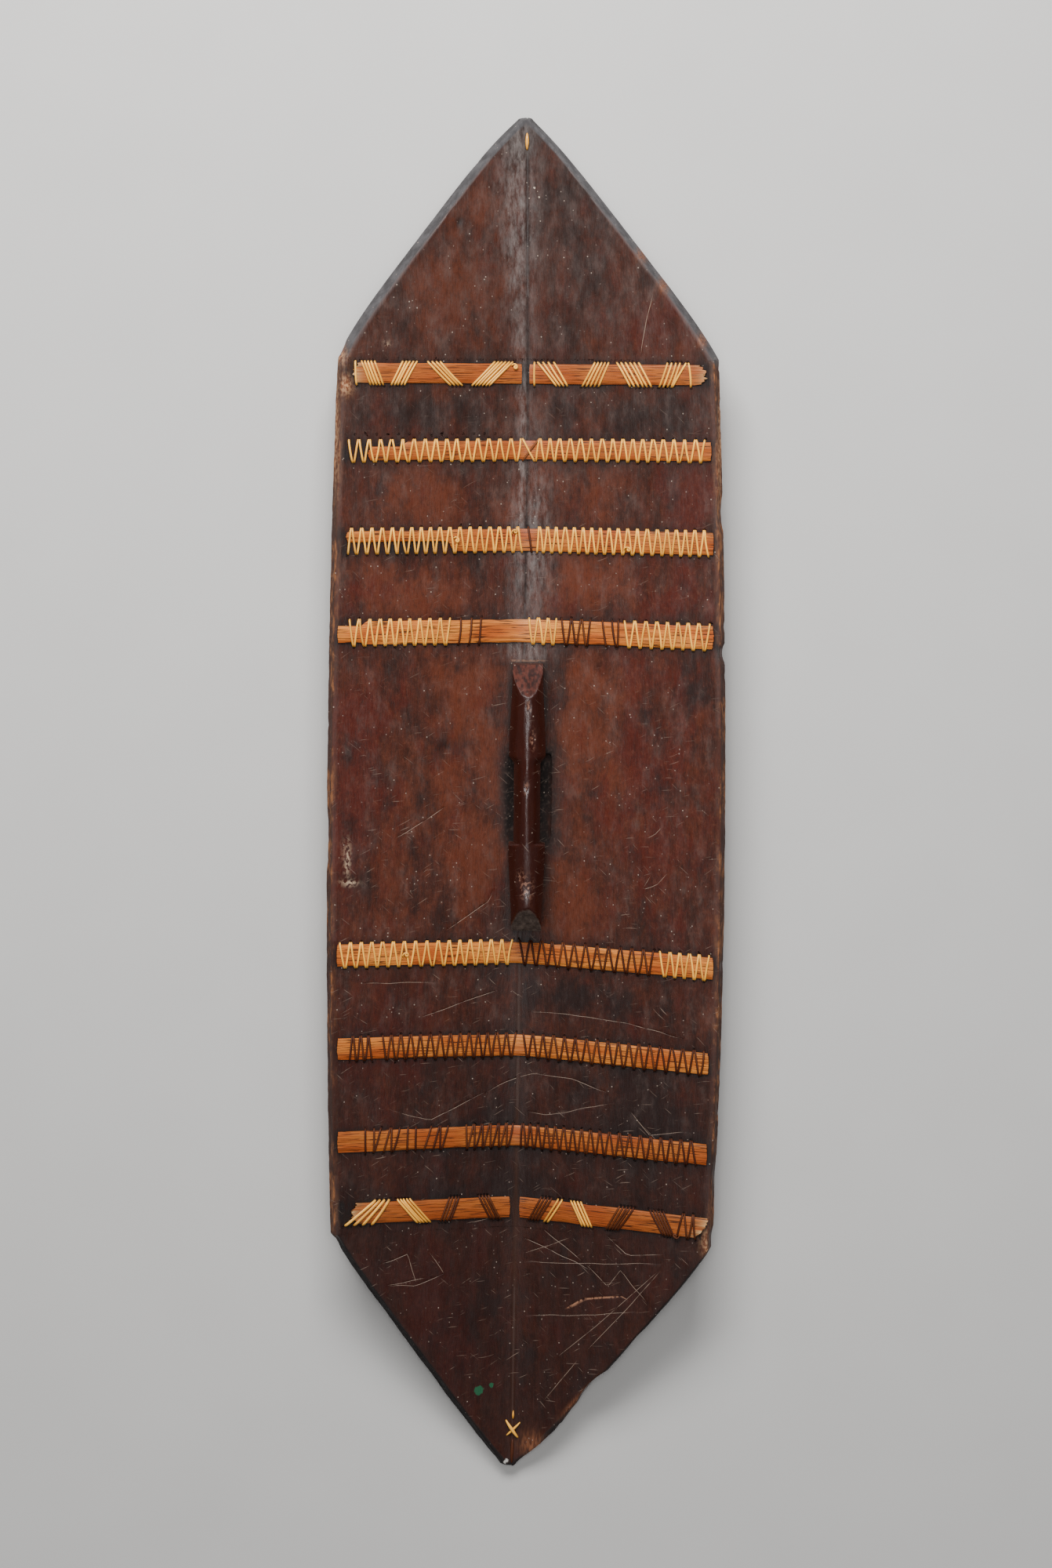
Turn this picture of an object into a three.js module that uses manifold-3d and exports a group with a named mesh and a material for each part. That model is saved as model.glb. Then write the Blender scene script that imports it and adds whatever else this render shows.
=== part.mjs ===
// A long six-sided wooden shield with a roof-shaped section, lying on its front ridge, inner face up.
// X runs across it, Y along it towards its top tip, Z up. The origin is on the ground under its middle.
// Board and grip are carved from one piece of wood. Rattan strips cross it and are laced down with cane.
import * as THREE from "three";
import { mergeVertices } from "three/addons/utils/BufferGeometryUtils.js";
import Module from "manifold-3d";

// Outline of the front face, in millimetres
const LENGTH = 1220;
const TIP_Y = LENGTH / 2;
const WIDEST_Y = -60;
const WIDEST_HALF = 176.85;

// Sloping end edges, by end (1 top, -1 bottom) and side: half width of the blunt tip, outward bow, and
// the shoulder where the edge meets the long side
const END_EDGES = [
  { end: 1, side: -1, tipHalf: 8.5, bow: 5.8, shoulderHalf: 168.3, shoulderY: 398 },
  { end: 1, side: 1, tipHalf: 5, bow: 4.4, shoulderHalf: 166.3, shoulderY: 398 },
  { end: -1, side: -1, tipHalf: 11, bow: 1, shoulderHalf: 173, shoulderY: -382 },
  { end: -1, side: 1, tipHalf: 4.5, bow: 6, shoulderHalf: 170, shoulderY: -391 },
];
const edgeOf = (end, side) => END_EDGES.find((edge) => edge.end === end && edge.side === side);

// Rim: how much smaller the inner face is than the front face, measured square to each edge
const SIDE_BEVEL = 5;
const END_BEVEL = 8;
const BROKEN_END_BEVEL = 3.5;
const TIP_BEVEL_SHARE = 0.45;

// Roof-shaped section
const WING_SLOPE = 0.389;
const WALL = 14;
const RIDGE_ROUND = 10;
const RIDGE_FLAT_HALF = 12;
const VALLEY_ROUND_MIDDLE = 22;
const VALLEY_ROUND_END = 6;
const VALLEY_ROUND_REACH = 380;
const VALLEY_PEAK_X = -0.8;
const VALLEY_PEAK_Y = 330;
const VALLEY_LEAN = 0.0086;

// Chips out of the rim: side of the board, place along it, half length and depth. A swell has a depth below 0
const CHIPS = [
  { side: -1, y: -25, half: 26, depth: 1.6 },
  { side: 1, y: -531, half: 16, depth: 3 },
  { side: 1, y: -578, half: 24, depth: -2.4 },
];

// Grip, carved from the board over a finger hollow
const GRIP_X = 0.8;
const GRIP_TOP_END = 128;
const GRIP_BOTTOM_END = -110;
const GRIP_TOP_FACET = 29;
const GRIP_BOTTOM_FACET = 22;
const GRIP_CROWN_Z = 61;
const GRIP_END_Z = 44;
const GRIP_END_HALF = 13.3;
const GRIP_FOOT_HALF = 16.3;
const GRIP_HAND_HALF = 11.8;
const GRIP_SIDE_DROP = 13;
const GRIP_ROOT_Z = 6;
const FINGER_TOP = 47;
const FINGER_BOTTOM = -32.5;
const FINGER_ROOF_Z = 37;
const FINGER_FLOOR_Z = 14.5;
const FINGER_CORNER = 6;
const FINGER_LEFT = -17.5;
const FINGER_RIGHT = 22;

// Rattan strips and lacing
const STRIP_EDGE = 0.5;
const STRIP_THICK = 2;
const STRIP_GAP = 0.5;
const LACE_GAP = 0.3;
const LACE_RISE = 3.1;
const WRAP_RISE = 2.4;
const LACE_REACH = 2.8;
const LACE_THICK = 1.3;
const LACE_KNEE = 8;
const LACE_WOBBLE = 0.6;
const GROOVE_SHARE = 0.45;
const SHADES = {
  light: { width: 2.8, colour: 0xd3a45a, roughness: 0.5 },
  dark: { width: 2.3, colour: 0x3d2218, roughness: 0.55 },
};

const mix = THREE.MathUtils.lerp;
const wasm = await Module();
wasm.setup();

// Surfaces of the roof-shaped section
const valleyX = (y) => VALLEY_PEAK_X - VALLEY_LEAN * Math.hypot(y - VALLEY_PEAK_Y, VALLEY_ROUND_MIDDLE);

function valleyRound(y) {
  const away = THREE.MathUtils.smoothstep(Math.abs(y), 0, VALLEY_ROUND_REACH);
  return mix(VALLEY_ROUND_MIDDLE, VALLEY_ROUND_END, away);
}

const FRONT_DROP = WING_SLOPE * Math.hypot(RIDGE_FLAT_HALF, RIDGE_ROUND);
const innerZ = (x, y) => WING_SLOPE * Math.hypot(x - valleyX(y), valleyRound(y)) + WALL - FRONT_DROP;
const frontZ = (x, y) => Math.max(0, WING_SLOPE * Math.hypot(x - valleyX(y), RIDGE_ROUND) - FRONT_DROP);

// A closed solid between two sheets of points that share the same triangles
function closedSheet(top, bottom, triangles) {
  const count = top.length;
  const faces = [];
  const edges = new Map();
  for (const [a, b, c] of triangles) {
    faces.push(a, b, c, count + a, count + c, count + b);
    for (const [p, q] of [[a, b], [b, c], [c, a]]) {
      if (!edges.delete(q + "," + p)) edges.set(p + "," + q, [p, q]);
    }
  }
  for (const [p, q] of edges.values()) faces.push(p, count + p, count + q, p, count + q, q);
  const geometry = new THREE.BufferGeometry().setFromPoints([...top, ...bottom]);
  return geometry.setIndex(faces);
}

// Triangles of a grid of points whose rows run along +X and follow one another towards -Y
function gridTriangles(rows, columns) {
  const triangles = [];
  for (let r = 0; r + 1 < rows; r++) {
    for (let c = 0; c + 1 < columns; c++) {
      const a = r * columns + c;
      const b = a + columns;
      triangles.push([a, b, b + 1], [a, b + 1, a + 1]);
    }
  }
  return triangles;
}

function solidOf(geometry) {
  const bare = new THREE.BufferGeometry().setAttribute("position", geometry.getAttribute("position"));
  bare.setIndex(geometry.index);
  const merged = mergeVertices(bare, 1e-3);
  const vertProperties = merged.getAttribute("position").array;
  const triVerts = new Uint32Array(merged.index.array);
  return new wasm.Manifold(new wasm.Mesh({ numProp: 3, vertProperties, triVerts }));
}

function geometryOf(solid) {
  const { vertProperties, triVerts } = solid.getMesh();
  const geometry = new THREE.BufferGeometry();
  geometry.setAttribute("position", new THREE.BufferAttribute(vertProperties, 3));
  return geometry.setIndex(new THREE.BufferAttribute(triVerts, 1));
}

const shield = new THREE.Group();

function addPiece(name, geometry, colour, roughness) {
  const material = new THREE.MeshStandardMaterial({ color: colour, roughness, metalness: 0 });
  const piece = new THREE.Mesh(geometry, material);
  piece.name = name;
  shield.add(piece);
}

// Board: half width of the bowed long sides
function sideHalf(side, y) {
  const { shoulderHalf, shoulderY } = edgeOf(y > WIDEST_Y ? 1 : -1, side);
  return mix(WIDEST_HALF, shoulderHalf, ((y - WIDEST_Y) / (shoulderY - WIDEST_Y)) ** 2);
}

function chipDepth(side, y) {
  const bite = (chip) => Math.max(0, 1 - ((y - chip.y) / chip.half) ** 2) * chip.depth;
  return CHIPS.filter((chip) => chip.side === side).reduce((sum, chip) => sum + bite(chip), 0);
}

// One point of the rim: side is -1 or 1, share runs from the top tip (0) by both shoulders (1, 2) to 3
function rimPoint(side, share) {
  if (share >= 1 && share <= 2) {
    const y = mix(edgeOf(1, side).shoulderY, edgeOf(-1, side).shoulderY, share - 1);
    const x = side * (sideHalf(side, y) - chipDepth(side, y));
    return { outer: [x, y], inner: [x - side * SIDE_BEVEL, y] };
  }
  const atTop = share < 1;
  const away = atTop ? share : 3 - share;
  const end = atTop ? 1 : -1;
  const { tipHalf, bow, shoulderHalf, shoulderY } = edgeOf(end, side);
  const tip = new THREE.Vector2(valleyX(end * TIP_Y) + side * tipHalf, end * TIP_Y);
  const shoulder = new THREE.Vector2(side * shoulderHalf, shoulderY);
  const edge = shoulder.clone().sub(tip).normalize();
  const outward = new THREE.Vector2(side * Math.abs(edge.y), end * Math.abs(edge.x));
  const point = tip.clone().lerp(shoulder, away);
  point.addScaledVector(outward, bow * (1 - (2 * away - 1) ** 4) - chipDepth(side, point.y));
  const fullBevel = !atTop && side > 0 ? BROKEN_END_BEVEL : END_BEVEL;
  const bevel = fullBevel * mix(TIP_BEVEL_SHARE, 1, Math.min(1, 5 * away));
  const inner = point.clone().addScaledVector(outward, -bevel);
  return { outer: point.toArray(), inner: inner.toArray() };
}

// Places across the board, as shares of the way from the valley to the rim
const INNER_SHARES = [0.046, 0.114, 0.217, 0.4, 0.675, 1];
const FRONT_SHARES = [0, 0.16, 0.34, 0.54, 0.77, 1];
const END_ROWS = 8;
const SIDE_ROWS = 13;

function rowAcross(left, right, shares, keepFlat, surface) {
  const middle = valleyX((left[1] + right[1]) / 2);
  const along = (x) => mix(left[1], right[1], (x - left[0]) / (right[0] - left[0]));
  const reach = (rim, share) => {
    const flat = Math.min(keepFlat, 0.6 * Math.abs(rim - middle)) * Math.sign(rim - middle);
    return mix(middle + flat, rim, share);
  };
  const across = [
    ...shares.map((share) => reach(left[0], share)).reverse(),
    middle,
    ...shares.map((share) => reach(right[0], share)),
  ];
  return across.map((x) => new THREE.Vector3(x, along(x), surface(x, along(x))));
}

function makeBoard() {
  const inner = [];
  const front = [];
  const shares = [];
  for (let i = 0; i < END_ROWS; i++) shares.push(i / END_ROWS);
  for (let i = 0; i < SIDE_ROWS; i++) shares.push(1 + i / (SIDE_ROWS - 1));
  for (let i = 1; i <= END_ROWS; i++) shares.push(2 + i / END_ROWS);
  for (const share of shares) {
    const left = rimPoint(-1, share);
    const right = rimPoint(1, share);
    inner.push(...rowAcross(left.inner, right.inner, INNER_SHARES, 0, innerZ));
    front.push(...rowAcross(left.outer, right.outer, FRONT_SHARES, RIDGE_FLAT_HALF, frontZ));
  }
  return closedSheet(inner, front, gridTriangles(shares.length, 2 * INNER_SHARES.length + 1));
}

// Grip: a crowned bar with sloping end facets, broad feet and a narrower hand hold
function makeGrip() {
  const stations = [
    { y: GRIP_TOP_END, half: GRIP_END_HALF, crown: GRIP_END_Z },
    { y: GRIP_TOP_END - GRIP_TOP_FACET / 2, half: mix(GRIP_END_HALF, GRIP_FOOT_HALF, 0.4), crown: 53 },
    { y: GRIP_TOP_END - GRIP_TOP_FACET, half: mix(GRIP_END_HALF, GRIP_FOOT_HALF, 0.75), crown: 60 },
    { y: FINGER_TOP + 8, half: GRIP_FOOT_HALF, crown: GRIP_CROWN_Z },
    { y: FINGER_TOP + 1, half: GRIP_FOOT_HALF, crown: GRIP_CROWN_Z },
    { y: FINGER_TOP - 4, half: GRIP_HAND_HALF, crown: GRIP_CROWN_Z },
    { y: 8, half: GRIP_HAND_HALF, crown: GRIP_CROWN_Z },
    { y: FINGER_BOTTOM + 3, half: GRIP_HAND_HALF, crown: GRIP_CROWN_Z },
    { y: FINGER_BOTTOM, half: GRIP_FOOT_HALF, crown: GRIP_CROWN_Z },
    { y: GRIP_BOTTOM_END + GRIP_BOTTOM_FACET, half: mix(GRIP_END_HALF, GRIP_FOOT_HALF, 0.6), crown: 60 },
    { y: GRIP_BOTTOM_END, half: GRIP_END_HALF, crown: GRIP_END_Z },
  ];
  const shares = [-1, -0.72, -0.3, 0.3, 0.72, 1];
  const top = [];
  const bottom = [];
  for (const { y, half, crown } of stations) {
    for (const share of shares) {
      const x = GRIP_X + half * share;
      top.push(new THREE.Vector3(x, y, crown - GRIP_SIDE_DROP * Math.abs(share) ** 2.6));
      bottom.push(new THREE.Vector3(x, y, GRIP_ROOT_Z));
    }
  }
  return closedSheet(top, bottom, gridTriangles(stations.length, shares.length));
}

// The finger hollow: a rounded slot under the hand hold that also bites into the board
function makeFingerHollow() {
  const slot = new THREE.Shape();
  slot.moveTo(FINGER_BOTTOM, FINGER_FLOOR_Z);
  slot.lineTo(FINGER_TOP, FINGER_FLOOR_Z);
  const cornerZ = FINGER_ROOF_Z - FINGER_CORNER;
  slot.absarc(FINGER_TOP - FINGER_CORNER, cornerZ, FINGER_CORNER, 0, Math.PI / 2);
  slot.absarc(FINGER_BOTTOM + FINGER_CORNER, cornerZ, FINGER_CORNER, Math.PI / 2, Math.PI);
  const depth = FINGER_RIGHT - FINGER_LEFT;
  const hollow = new THREE.ExtrudeGeometry(slot, { depth, bevelEnabled: false, curveSegments: 4 });
  const ontoSide = new THREE.Matrix4().makeBasis(
    new THREE.Vector3(0, 1, 0),
    new THREE.Vector3(0, 0, 1),
    new THREE.Vector3(1, 0, 0),
  );
  return hollow.applyMatrix4(ontoSide).translate(FINGER_LEFT, 0, 0);
}

const carved = solidOf(makeBoard()).add(solidOf(makeGrip())).subtract(solidOf(makeFingerHollow()));
addPiece("board", geometryOf(carved), 0x4a2419, 0.42);

// Rows of strips: place of the row's middle at x = 0, its lean across the board and half its width
const ROWS = {
  1: { y: 384.5, lean: 0, half: 8.75 },
  2: { y: 317.2, lean: 0.006, half: 8.25 },
  3: { y: 237.4, lean: 0, half: 9.75 },
  4: { y: 156, lean: -0.005, half: 10.2 },
  5: { y: -134, lean: -0.026, half: 9.7 },
  6: { y: -219, lean: -0.032, half: 9.6 },
  7: { y: -302, lean: -0.025, half: 9.4 },
  8: { y: -368, lean: -0.03, half: 9.4 },
};

// A point over a row: u along the row, v across it towards the top tip, h above the board
function overRow(row, u, v, h) {
  const y = ROWS[row].y + ROWS[row].lean * u + v;
  return new THREE.Vector3(u, y, innerZ(u, y) + h);
}

// A strip runs from one end to the other. Where it is torn, only the share of its width between low and
// high is left up to the given place. Its ends run out to a splintered point over the given lengths.
const STRIPS = [
  { name: "strip_1_left", row: 1, from: -155, to: -6.3, fromPoint: 7, toPoint: 0 },
  { name: "strip_1_right", row: 1, from: 0, to: 154, fromPoint: 0, toPoint: 11 },
  { name: "strip_2", row: 2, from: -141, to: 160, torn: { upTo: -108, low: -1, high: 0.45 } },
  { name: "strip_3", row: 3, from: -160, to: 163, torn: { upTo: -68, low: -0.1, high: 0.9 } },
  { name: "strip_4", row: 4, from: -167, to: 164, torn: { upTo: -143, low: -0.85, high: 0.6 } },
  { name: "strip_5", row: 5, from: -167, to: 167 },
  { name: "strip_6", row: 6, from: -166.5, to: 164 },
  { name: "strip_7", row: 7, from: -166, to: 163.5 },
  { name: "strip_8_left", row: 8, from: -160, to: -11.5, fromPoint: 12, toPoint: 0 },
  { name: "strip_8_right", row: 8, from: -3.7, to: 164, toPoint: 10 },
];
const TEAR_STEP = 1;
const POINT_SHARE = 0.35;
const SECTION_POINTS = 3;

// Share of a strip's width that is left at a place near one of its pointed ends
function endShare(u, { from, to, fromPoint = 1.5, toPoint = 1.5 }) {
  const fromEnd = fromPoint ? (u - from) / fromPoint : 1;
  const toEnd = toPoint ? (to - u) / toPoint : 1;
  return mix(POINT_SHARE, 1, Math.min(1, fromEnd, toEnd));
}

function makeStrip(strip) {
  const { row, from, to, torn, fromPoint = 1.5, toPoint = 1.5 } = strip;
  const { y, half } = ROWS[row];
  const middle = valleyX(y);
  const seats = [-1, 1].flatMap((side) => {
    const rim = side * (sideHalf(side, y) - SIDE_BEVEL);
    return INNER_SHARES.map((share) => mix(middle, rim, share));
  });
  const breaks = torn ? [torn.upTo, torn.upTo + TEAR_STEP] : [];
  const stations = [from, from + fromPoint, ...breaks, middle, ...seats, to - toPoint, to]
    .filter((u) => u >= from && u <= to)
    .sort((a, b) => a - b)
    .filter((u, i, all) => i === 0 || u - all[i - 1] > 0.5 * TEAR_STEP);
  const top = [];
  const bottom = [];
  for (const u of stations) {
    const width = half * endShare(u, strip);
    const inTear = torn && u <= torn.upTo;
    const low = width * (inTear ? torn.low : -1);
    const high = width * (inTear ? torn.high : 1);
    const crown = mix(STRIP_EDGE, STRIP_THICK, (high - low) / (2 * half));
    const section = [
      [low, STRIP_EDGE],
      [(low + high) / 2, crown],
      [high, STRIP_EDGE],
    ];
    for (const [v, thick] of section) {
      top.push(overRow(row, u, v, STRIP_GAP + thick));
      bottom.push(overRow(row, u, v, STRIP_GAP));
    }
  }
  return closedSheet(top, bottom, gridTriangles(stations.length, SECTION_POINTS));
}

for (const strip of STRIPS) addPiece(strip.name, makeStrip(strip), 0xa8622b, 0.5);

// Height of the underside of the lacing at its holes
const LACE_SEAT = STRIP_GAP + LACE_GAP;

// A zigzag run of cane from hole to hole. Each tip is [u, side], side 1 above the strip and -1 below.
function makeRun(row, shade, tips) {
  const a = SHADES[shade].width / 2;
  const v = ROWS[row].half + LACE_REACH;
  const points = [];
  tips.forEach(([u, side], i) => {
    const before = tips[i - 1];
    const after = tips[i + 1];
    const inside = before && after;
    const knee = inside ? Math.min(1.6 * v, (4 * a * v) / (after[0] - before[0])) : LACE_KNEE;
    const leanIn = (after ? after[0] - u : u - before[0]) / (2 * v);
    const endSide = after ? 1 : -1;
    const kneeU = inside ? u + a - (knee * (u - before[0])) / (2 * v) : u + endSide * (knee * leanIn - a);
    points.push([u - a, side * v, 0], [u + a, side * v, 0], [kneeU, side * (v - knee), 1]);
  });
  const triangles = [];
  tips.forEach(([, side], i) => {
    const [left, right, knee] = [3 * i, 3 * i + 1, 3 * i + 2];
    const turn = (a1, b1, c1) => triangles.push(side > 0 ? [a1, c1, b1] : [a1, b1, c1]);
    turn(left, right, knee);
    if (i + 1 === tips.length) return;
    turn(knee, right, knee + 3);
    turn(knee, knee + 3, left + 3);
  });
  const sheet = (h) => points.map(([u, across, up]) => overRow(row, u, across, h + up * LACE_RISE));
  return closedSheet(sheet(LACE_SEAT + LACE_THICK), sheet(LACE_SEAT), triangles);
}

// Several strands side by side, from the holes above the strip to those below
function makeWrap(row, strands, top, bottom) {
  const v = ROWS[row].half + LACE_REACH;
  const levels = [[v, 0], [0, 1], [-v, 0]];
  const columns = 2 * strands + 1;
  const upper = [];
  const lower = [];
  for (const [level, up] of levels) {
    const share = (v - level) / (2 * v);
    const first = mix(top[0], bottom[0], share);
    const last = mix(top[1], bottom[1], share);
    const pitch = (last - first) / (strands - 1);
    for (let c = 0; c < columns; c++) {
      const u = first + pitch * (c / 2 - 0.5);
      const thick = LACE_THICK * (c % 2 ? 1 : GROOVE_SHARE);
      const under = LACE_SEAT + up * WRAP_RISE;
      upper.push(overRow(row, u, level, under + thick));
      lower.push(overRow(row, u, level, under));
    }
  }
  return closedSheet(upper, lower, gridTriangles(levels.length, columns));
}

// Tips of an even zigzag: count pairs of legs from one place to another, a little uneven as sewn by hand
function evenTips(row, { from, to, count, first = 1, phase = 0.5, spread = 1 }) {
  const tips = [];
  const place = (step) => mix(from, to, Math.min(1, step / count) ** spread);
  for (let i = 0; i <= 2 * count; i++) {
    const step = i % 2 ? (i - 1) / 2 + phase : i / 2;
    const uneven = LACE_WOBBLE * Math.sin(i * 12.9 + row * 7.8);
    tips.push([place(step) + (i === 0 || i === 2 * count ? 0 : uneven), i % 2 ? -first : first]);
  }
  return tips;
}

const UP = 1;
const DOWN = -1;
const CROSSING_STEP = 4;
const stroke = (top, bottom) => ({ tips: [[top, UP], [bottom, DOWN]] });

// Lacing of each row from left to right: zigzags, single strokes and wraps of strands side by side.
// A zigzag may carry on by further tips, and "with" joins a stretch that shares a hole with the one before.
const LACING = [
  { row: 1, shade: "light", ...stroke(-152.5, -150.3) },
  { row: 1, shade: "light", strands: 5, top: [-147.8, -136.5], bottom: [-138, -127] },
  { row: 1, shade: "light", strands: 5, top: [-110, -97.5], bottom: [-122, -110.7] },
  { row: 1, shade: "light", strands: 4, top: [-91, -80], bottom: [-67.5, -57.5] },
  { row: 1, shade: "light", strands: 6, top: [-29, -13], bottom: [-52, -37] },
  { row: 1, shade: "light", strands: 4, top: [6, 20.5], bottom: [25.5, 35], with: stroke(4.8, 4.8) },
  { row: 1, shade: "light", strands: 5, top: [59, 71], bottom: [46, 60.5] },
  { row: 1, shade: "light", strands: 6, top: [76, 95], bottom: [90, 108.5] },
  {
    row: 1,
    shade: "light",
    strands: 4,
    top: [122, 133],
    bottom: [113.5, 124],
    with: { tips: [[124.7, DOWN], [138.5, UP], [142, DOWN]] },
  },
  { row: 2, shade: "light", from: -158, to: -6.5, count: 16, then: { from: 10.2, to: 155, count: 16 } },
  { row: 3, shade: "light", from: -158.5, to: -4.5, count: 18, first: DOWN },
  { row: 3, shade: "dark", ...stroke(-0.5, 4) },
  { row: 3, shade: "light", from: 7.5, to: 159.5, count: 19, first: DOWN, spread: 1.06 },
  { row: 4, shade: "light", from: -157, to: -68, count: 10 },
  { row: 4, shade: "dark", ...stroke(-58.7, -62) },
  { row: 4, shade: "dark", ...stroke(-49.1, -52.5) },
  { row: 4, shade: "dark", ...stroke(-40.6, -43.5) },
  { row: 4, shade: "light", from: 1, to: 26.5, count: 3 },
  { row: 4, shade: "dark", from: 30, to: 56.5, count: 3 },
  { row: 4, shade: "dark", ...stroke(66, 70.8) },
  { row: 4, shade: "dark", tips: [[74.5, UP], [79.5, DOWN], [81, UP]] },
  { row: 4, shade: "light", from: 85.5, to: 161, count: 8 },
  { row: 5, shade: "light", from: -165, to: -10.5, count: 16 },
  { row: 5, shade: "dark", from: -5.5, to: 115, count: 12 },
  { row: 5, shade: "light", from: 119.5, to: 164, count: 5 },
  { row: 6, shade: "dark", from: -156, to: -135, count: 3, first: DOWN },
  { row: 6, shade: "dark", from: -127, to: -7, count: 14 },
  { row: 6, shade: "dark", from: -1.5, to: 160, count: 17 },
  { row: 7, shade: "dark", ...stroke(-140.8, -141.5) },
  { row: 7, shade: "dark", tips: [[-133.2, UP], [-134.6, DOWN], [-127, UP]] },
  { row: 7, shade: "dark", tips: [[-126, DOWN], [-118.5, UP], [-118, DOWN], [-110.3, UP]] },
  { row: 7, shade: "dark", ...stroke(-103, -104.8) },
  { row: 7, shade: "dark", ...stroke(-96, -97.3) },
  { row: 7, shade: "dark", ...stroke(-82, -90.6) },
  { row: 7, shade: "dark", tips: [[-82.5, DOWN], [-75, UP], [-74.6, DOWN], [-67, UP]] },
  { row: 7, shade: "dark", from: -51.2, to: -9, count: 6, phase: 0.06 },
  { row: 7, shade: "dark", from: -2.8, to: 154.5, count: 19, first: DOWN, spread: 1.13 },
  { row: 8, shade: "light", strands: 4, top: [-130.5, -119], bottom: [-161, -137] },
  { row: 8, shade: "light", strands: 5, top: [-114.5, -103.5], bottom: [-93.5, -82] },
  { row: 8, shade: "dark", strands: 4, top: [-65.5, -57], bottom: [-75.5, -67] },
  { row: 8, shade: "dark", strands: 4, top: [-41, -32.5], bottom: [-28, -19.5] },
  { row: 8, shade: "dark", strands: 4, top: [17.5, 27], bottom: [4, 12] },
  { row: 8, shade: "light", strands: 2, top: [33, 36.5], bottom: [18, 21] },
  { row: 8, shade: "light", strands: 4, top: [42, 51], bottom: [54.5, 63] },
  { row: 8, shade: "dark", strands: 5, top: [88, 100.5], bottom: [74, 83.5] },
  {
    row: 8,
    shade: "dark",
    strands: 5,
    top: [112.5, 124.5],
    bottom: [127, 136.5],
    with: { tips: [[137, DOWN], [143.6, UP], [147, DOWN], [152, UP], [154.5, DOWN]] },
  },
];

function makeLacing({ row, shade, strands, top, bottom, tips, then, with: joined, ...even }) {
  if (strands) {
    const wrap = makeWrap(row, strands, top, bottom);
    return joined ? geometryOf(solidOf(wrap).add(solidOf(makeRun(row, shade, joined.tips)))) : wrap;
  }
  const route = tips ?? evenTips(row, even);
  if (then) route.push([then.from - CROSSING_STEP, DOWN], ...evenTips(row, then));
  return makeRun(row, shade, route);
}

const inRow = {};
for (const stretch of LACING) {
  inRow[stretch.row] = (inRow[stretch.row] ?? 0) + 1;
  const { colour, roughness } = SHADES[stretch.shade];
  const name = `lacing_${stretch.row}_${inRow[stretch.row]}_${stretch.shade}`;
  addPiece(name, makeLacing(stretch), colour, roughness);
}

// Stitches at the tips: bent bars of cane over the wood, following the valley
const STITCH_WIDTH = 3;
const STITCH_THICK = 1.6;
const STITCH_STEPS = 4;
const STITCH_RISE = 1.2;

function makeStitch(start, end) {
  const [from, to] = [new THREE.Vector2(...start), new THREE.Vector2(...end)];
  const across = to.clone().sub(from).normalize().rotateAround(new THREE.Vector2(), Math.PI / 2);
  const top = [];
  const bottom = [];
  for (let i = 0; i <= STITCH_STEPS; i++) {
    const middle = from.clone().lerp(to, i / STITCH_STEPS);
    const rise = STITCH_RISE * Math.sin((Math.PI * i) / STITCH_STEPS);
    for (const side of [-0.5, 0.5]) {
      const { x, y } = middle.clone().addScaledVector(across, side * STITCH_WIDTH);
      const z = Math.max(innerZ(middle.x, middle.y), innerZ(x, y)) + STRIP_GAP + rise;
      top.push(new THREE.Vector3(x, y, z + STITCH_THICK));
      bottom.push(new THREE.Vector3(x, y, z));
    }
  }
  return closedSheet(top, bottom, gridTriangles(STITCH_STEPS + 1, 2));
}

const CROSS_LEFT = -14;
const CROSS_RIGHT = -3;
const CROSS_TOP = -566;
const CROSS_BOTTOM = -582;
const topStitch = makeStitch([-3.3, 596], [-3.3, 581]);
const crossDown = solidOf(makeStitch([CROSS_LEFT, CROSS_TOP], [CROSS_RIGHT, CROSS_BOTTOM]));
const crossUp = solidOf(makeStitch([CROSS_RIGHT + 2, CROSS_TOP - 2], [CROSS_LEFT, CROSS_BOTTOM + 2]));
const { colour: stitchColour, roughness: stitchRoughness } = SHADES.light;
addPiece("tip_stitch_top", topStitch, stitchColour, stitchRoughness);
addPiece("tip_stitch_bottom", geometryOf(crossDown.add(crossUp)), stitchColour, stitchRoughness);

export default shield;
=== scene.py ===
import math

import bpy
import numpy as np
from mathutils import Matrix


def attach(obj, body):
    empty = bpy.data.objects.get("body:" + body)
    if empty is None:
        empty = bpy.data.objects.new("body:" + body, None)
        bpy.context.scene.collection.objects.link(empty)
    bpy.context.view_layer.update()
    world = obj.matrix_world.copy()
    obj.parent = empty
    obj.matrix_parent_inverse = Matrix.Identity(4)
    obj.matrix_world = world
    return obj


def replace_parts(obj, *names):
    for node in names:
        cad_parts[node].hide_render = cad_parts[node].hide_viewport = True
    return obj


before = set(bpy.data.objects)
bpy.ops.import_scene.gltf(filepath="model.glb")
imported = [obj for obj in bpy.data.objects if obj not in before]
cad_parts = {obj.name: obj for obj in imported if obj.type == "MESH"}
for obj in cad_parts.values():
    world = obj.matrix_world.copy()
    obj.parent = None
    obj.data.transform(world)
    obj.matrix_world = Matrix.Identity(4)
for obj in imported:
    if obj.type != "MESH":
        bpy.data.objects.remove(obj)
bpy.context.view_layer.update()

# The board: one plank of dense red-brown hardwood, hewn by adze and knife to a roof-shaped section.
# It lies on its front ridge with the hollow inner face up, and its thin rim is nibbled by long use.
# All sizes are in millimetres: x runs across the board, y along it to the top tip, z up.
MM = 0.001
TIP_Y = 610
WIDEST_Y = -60
WIDEST_HALF = 176.85
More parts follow.
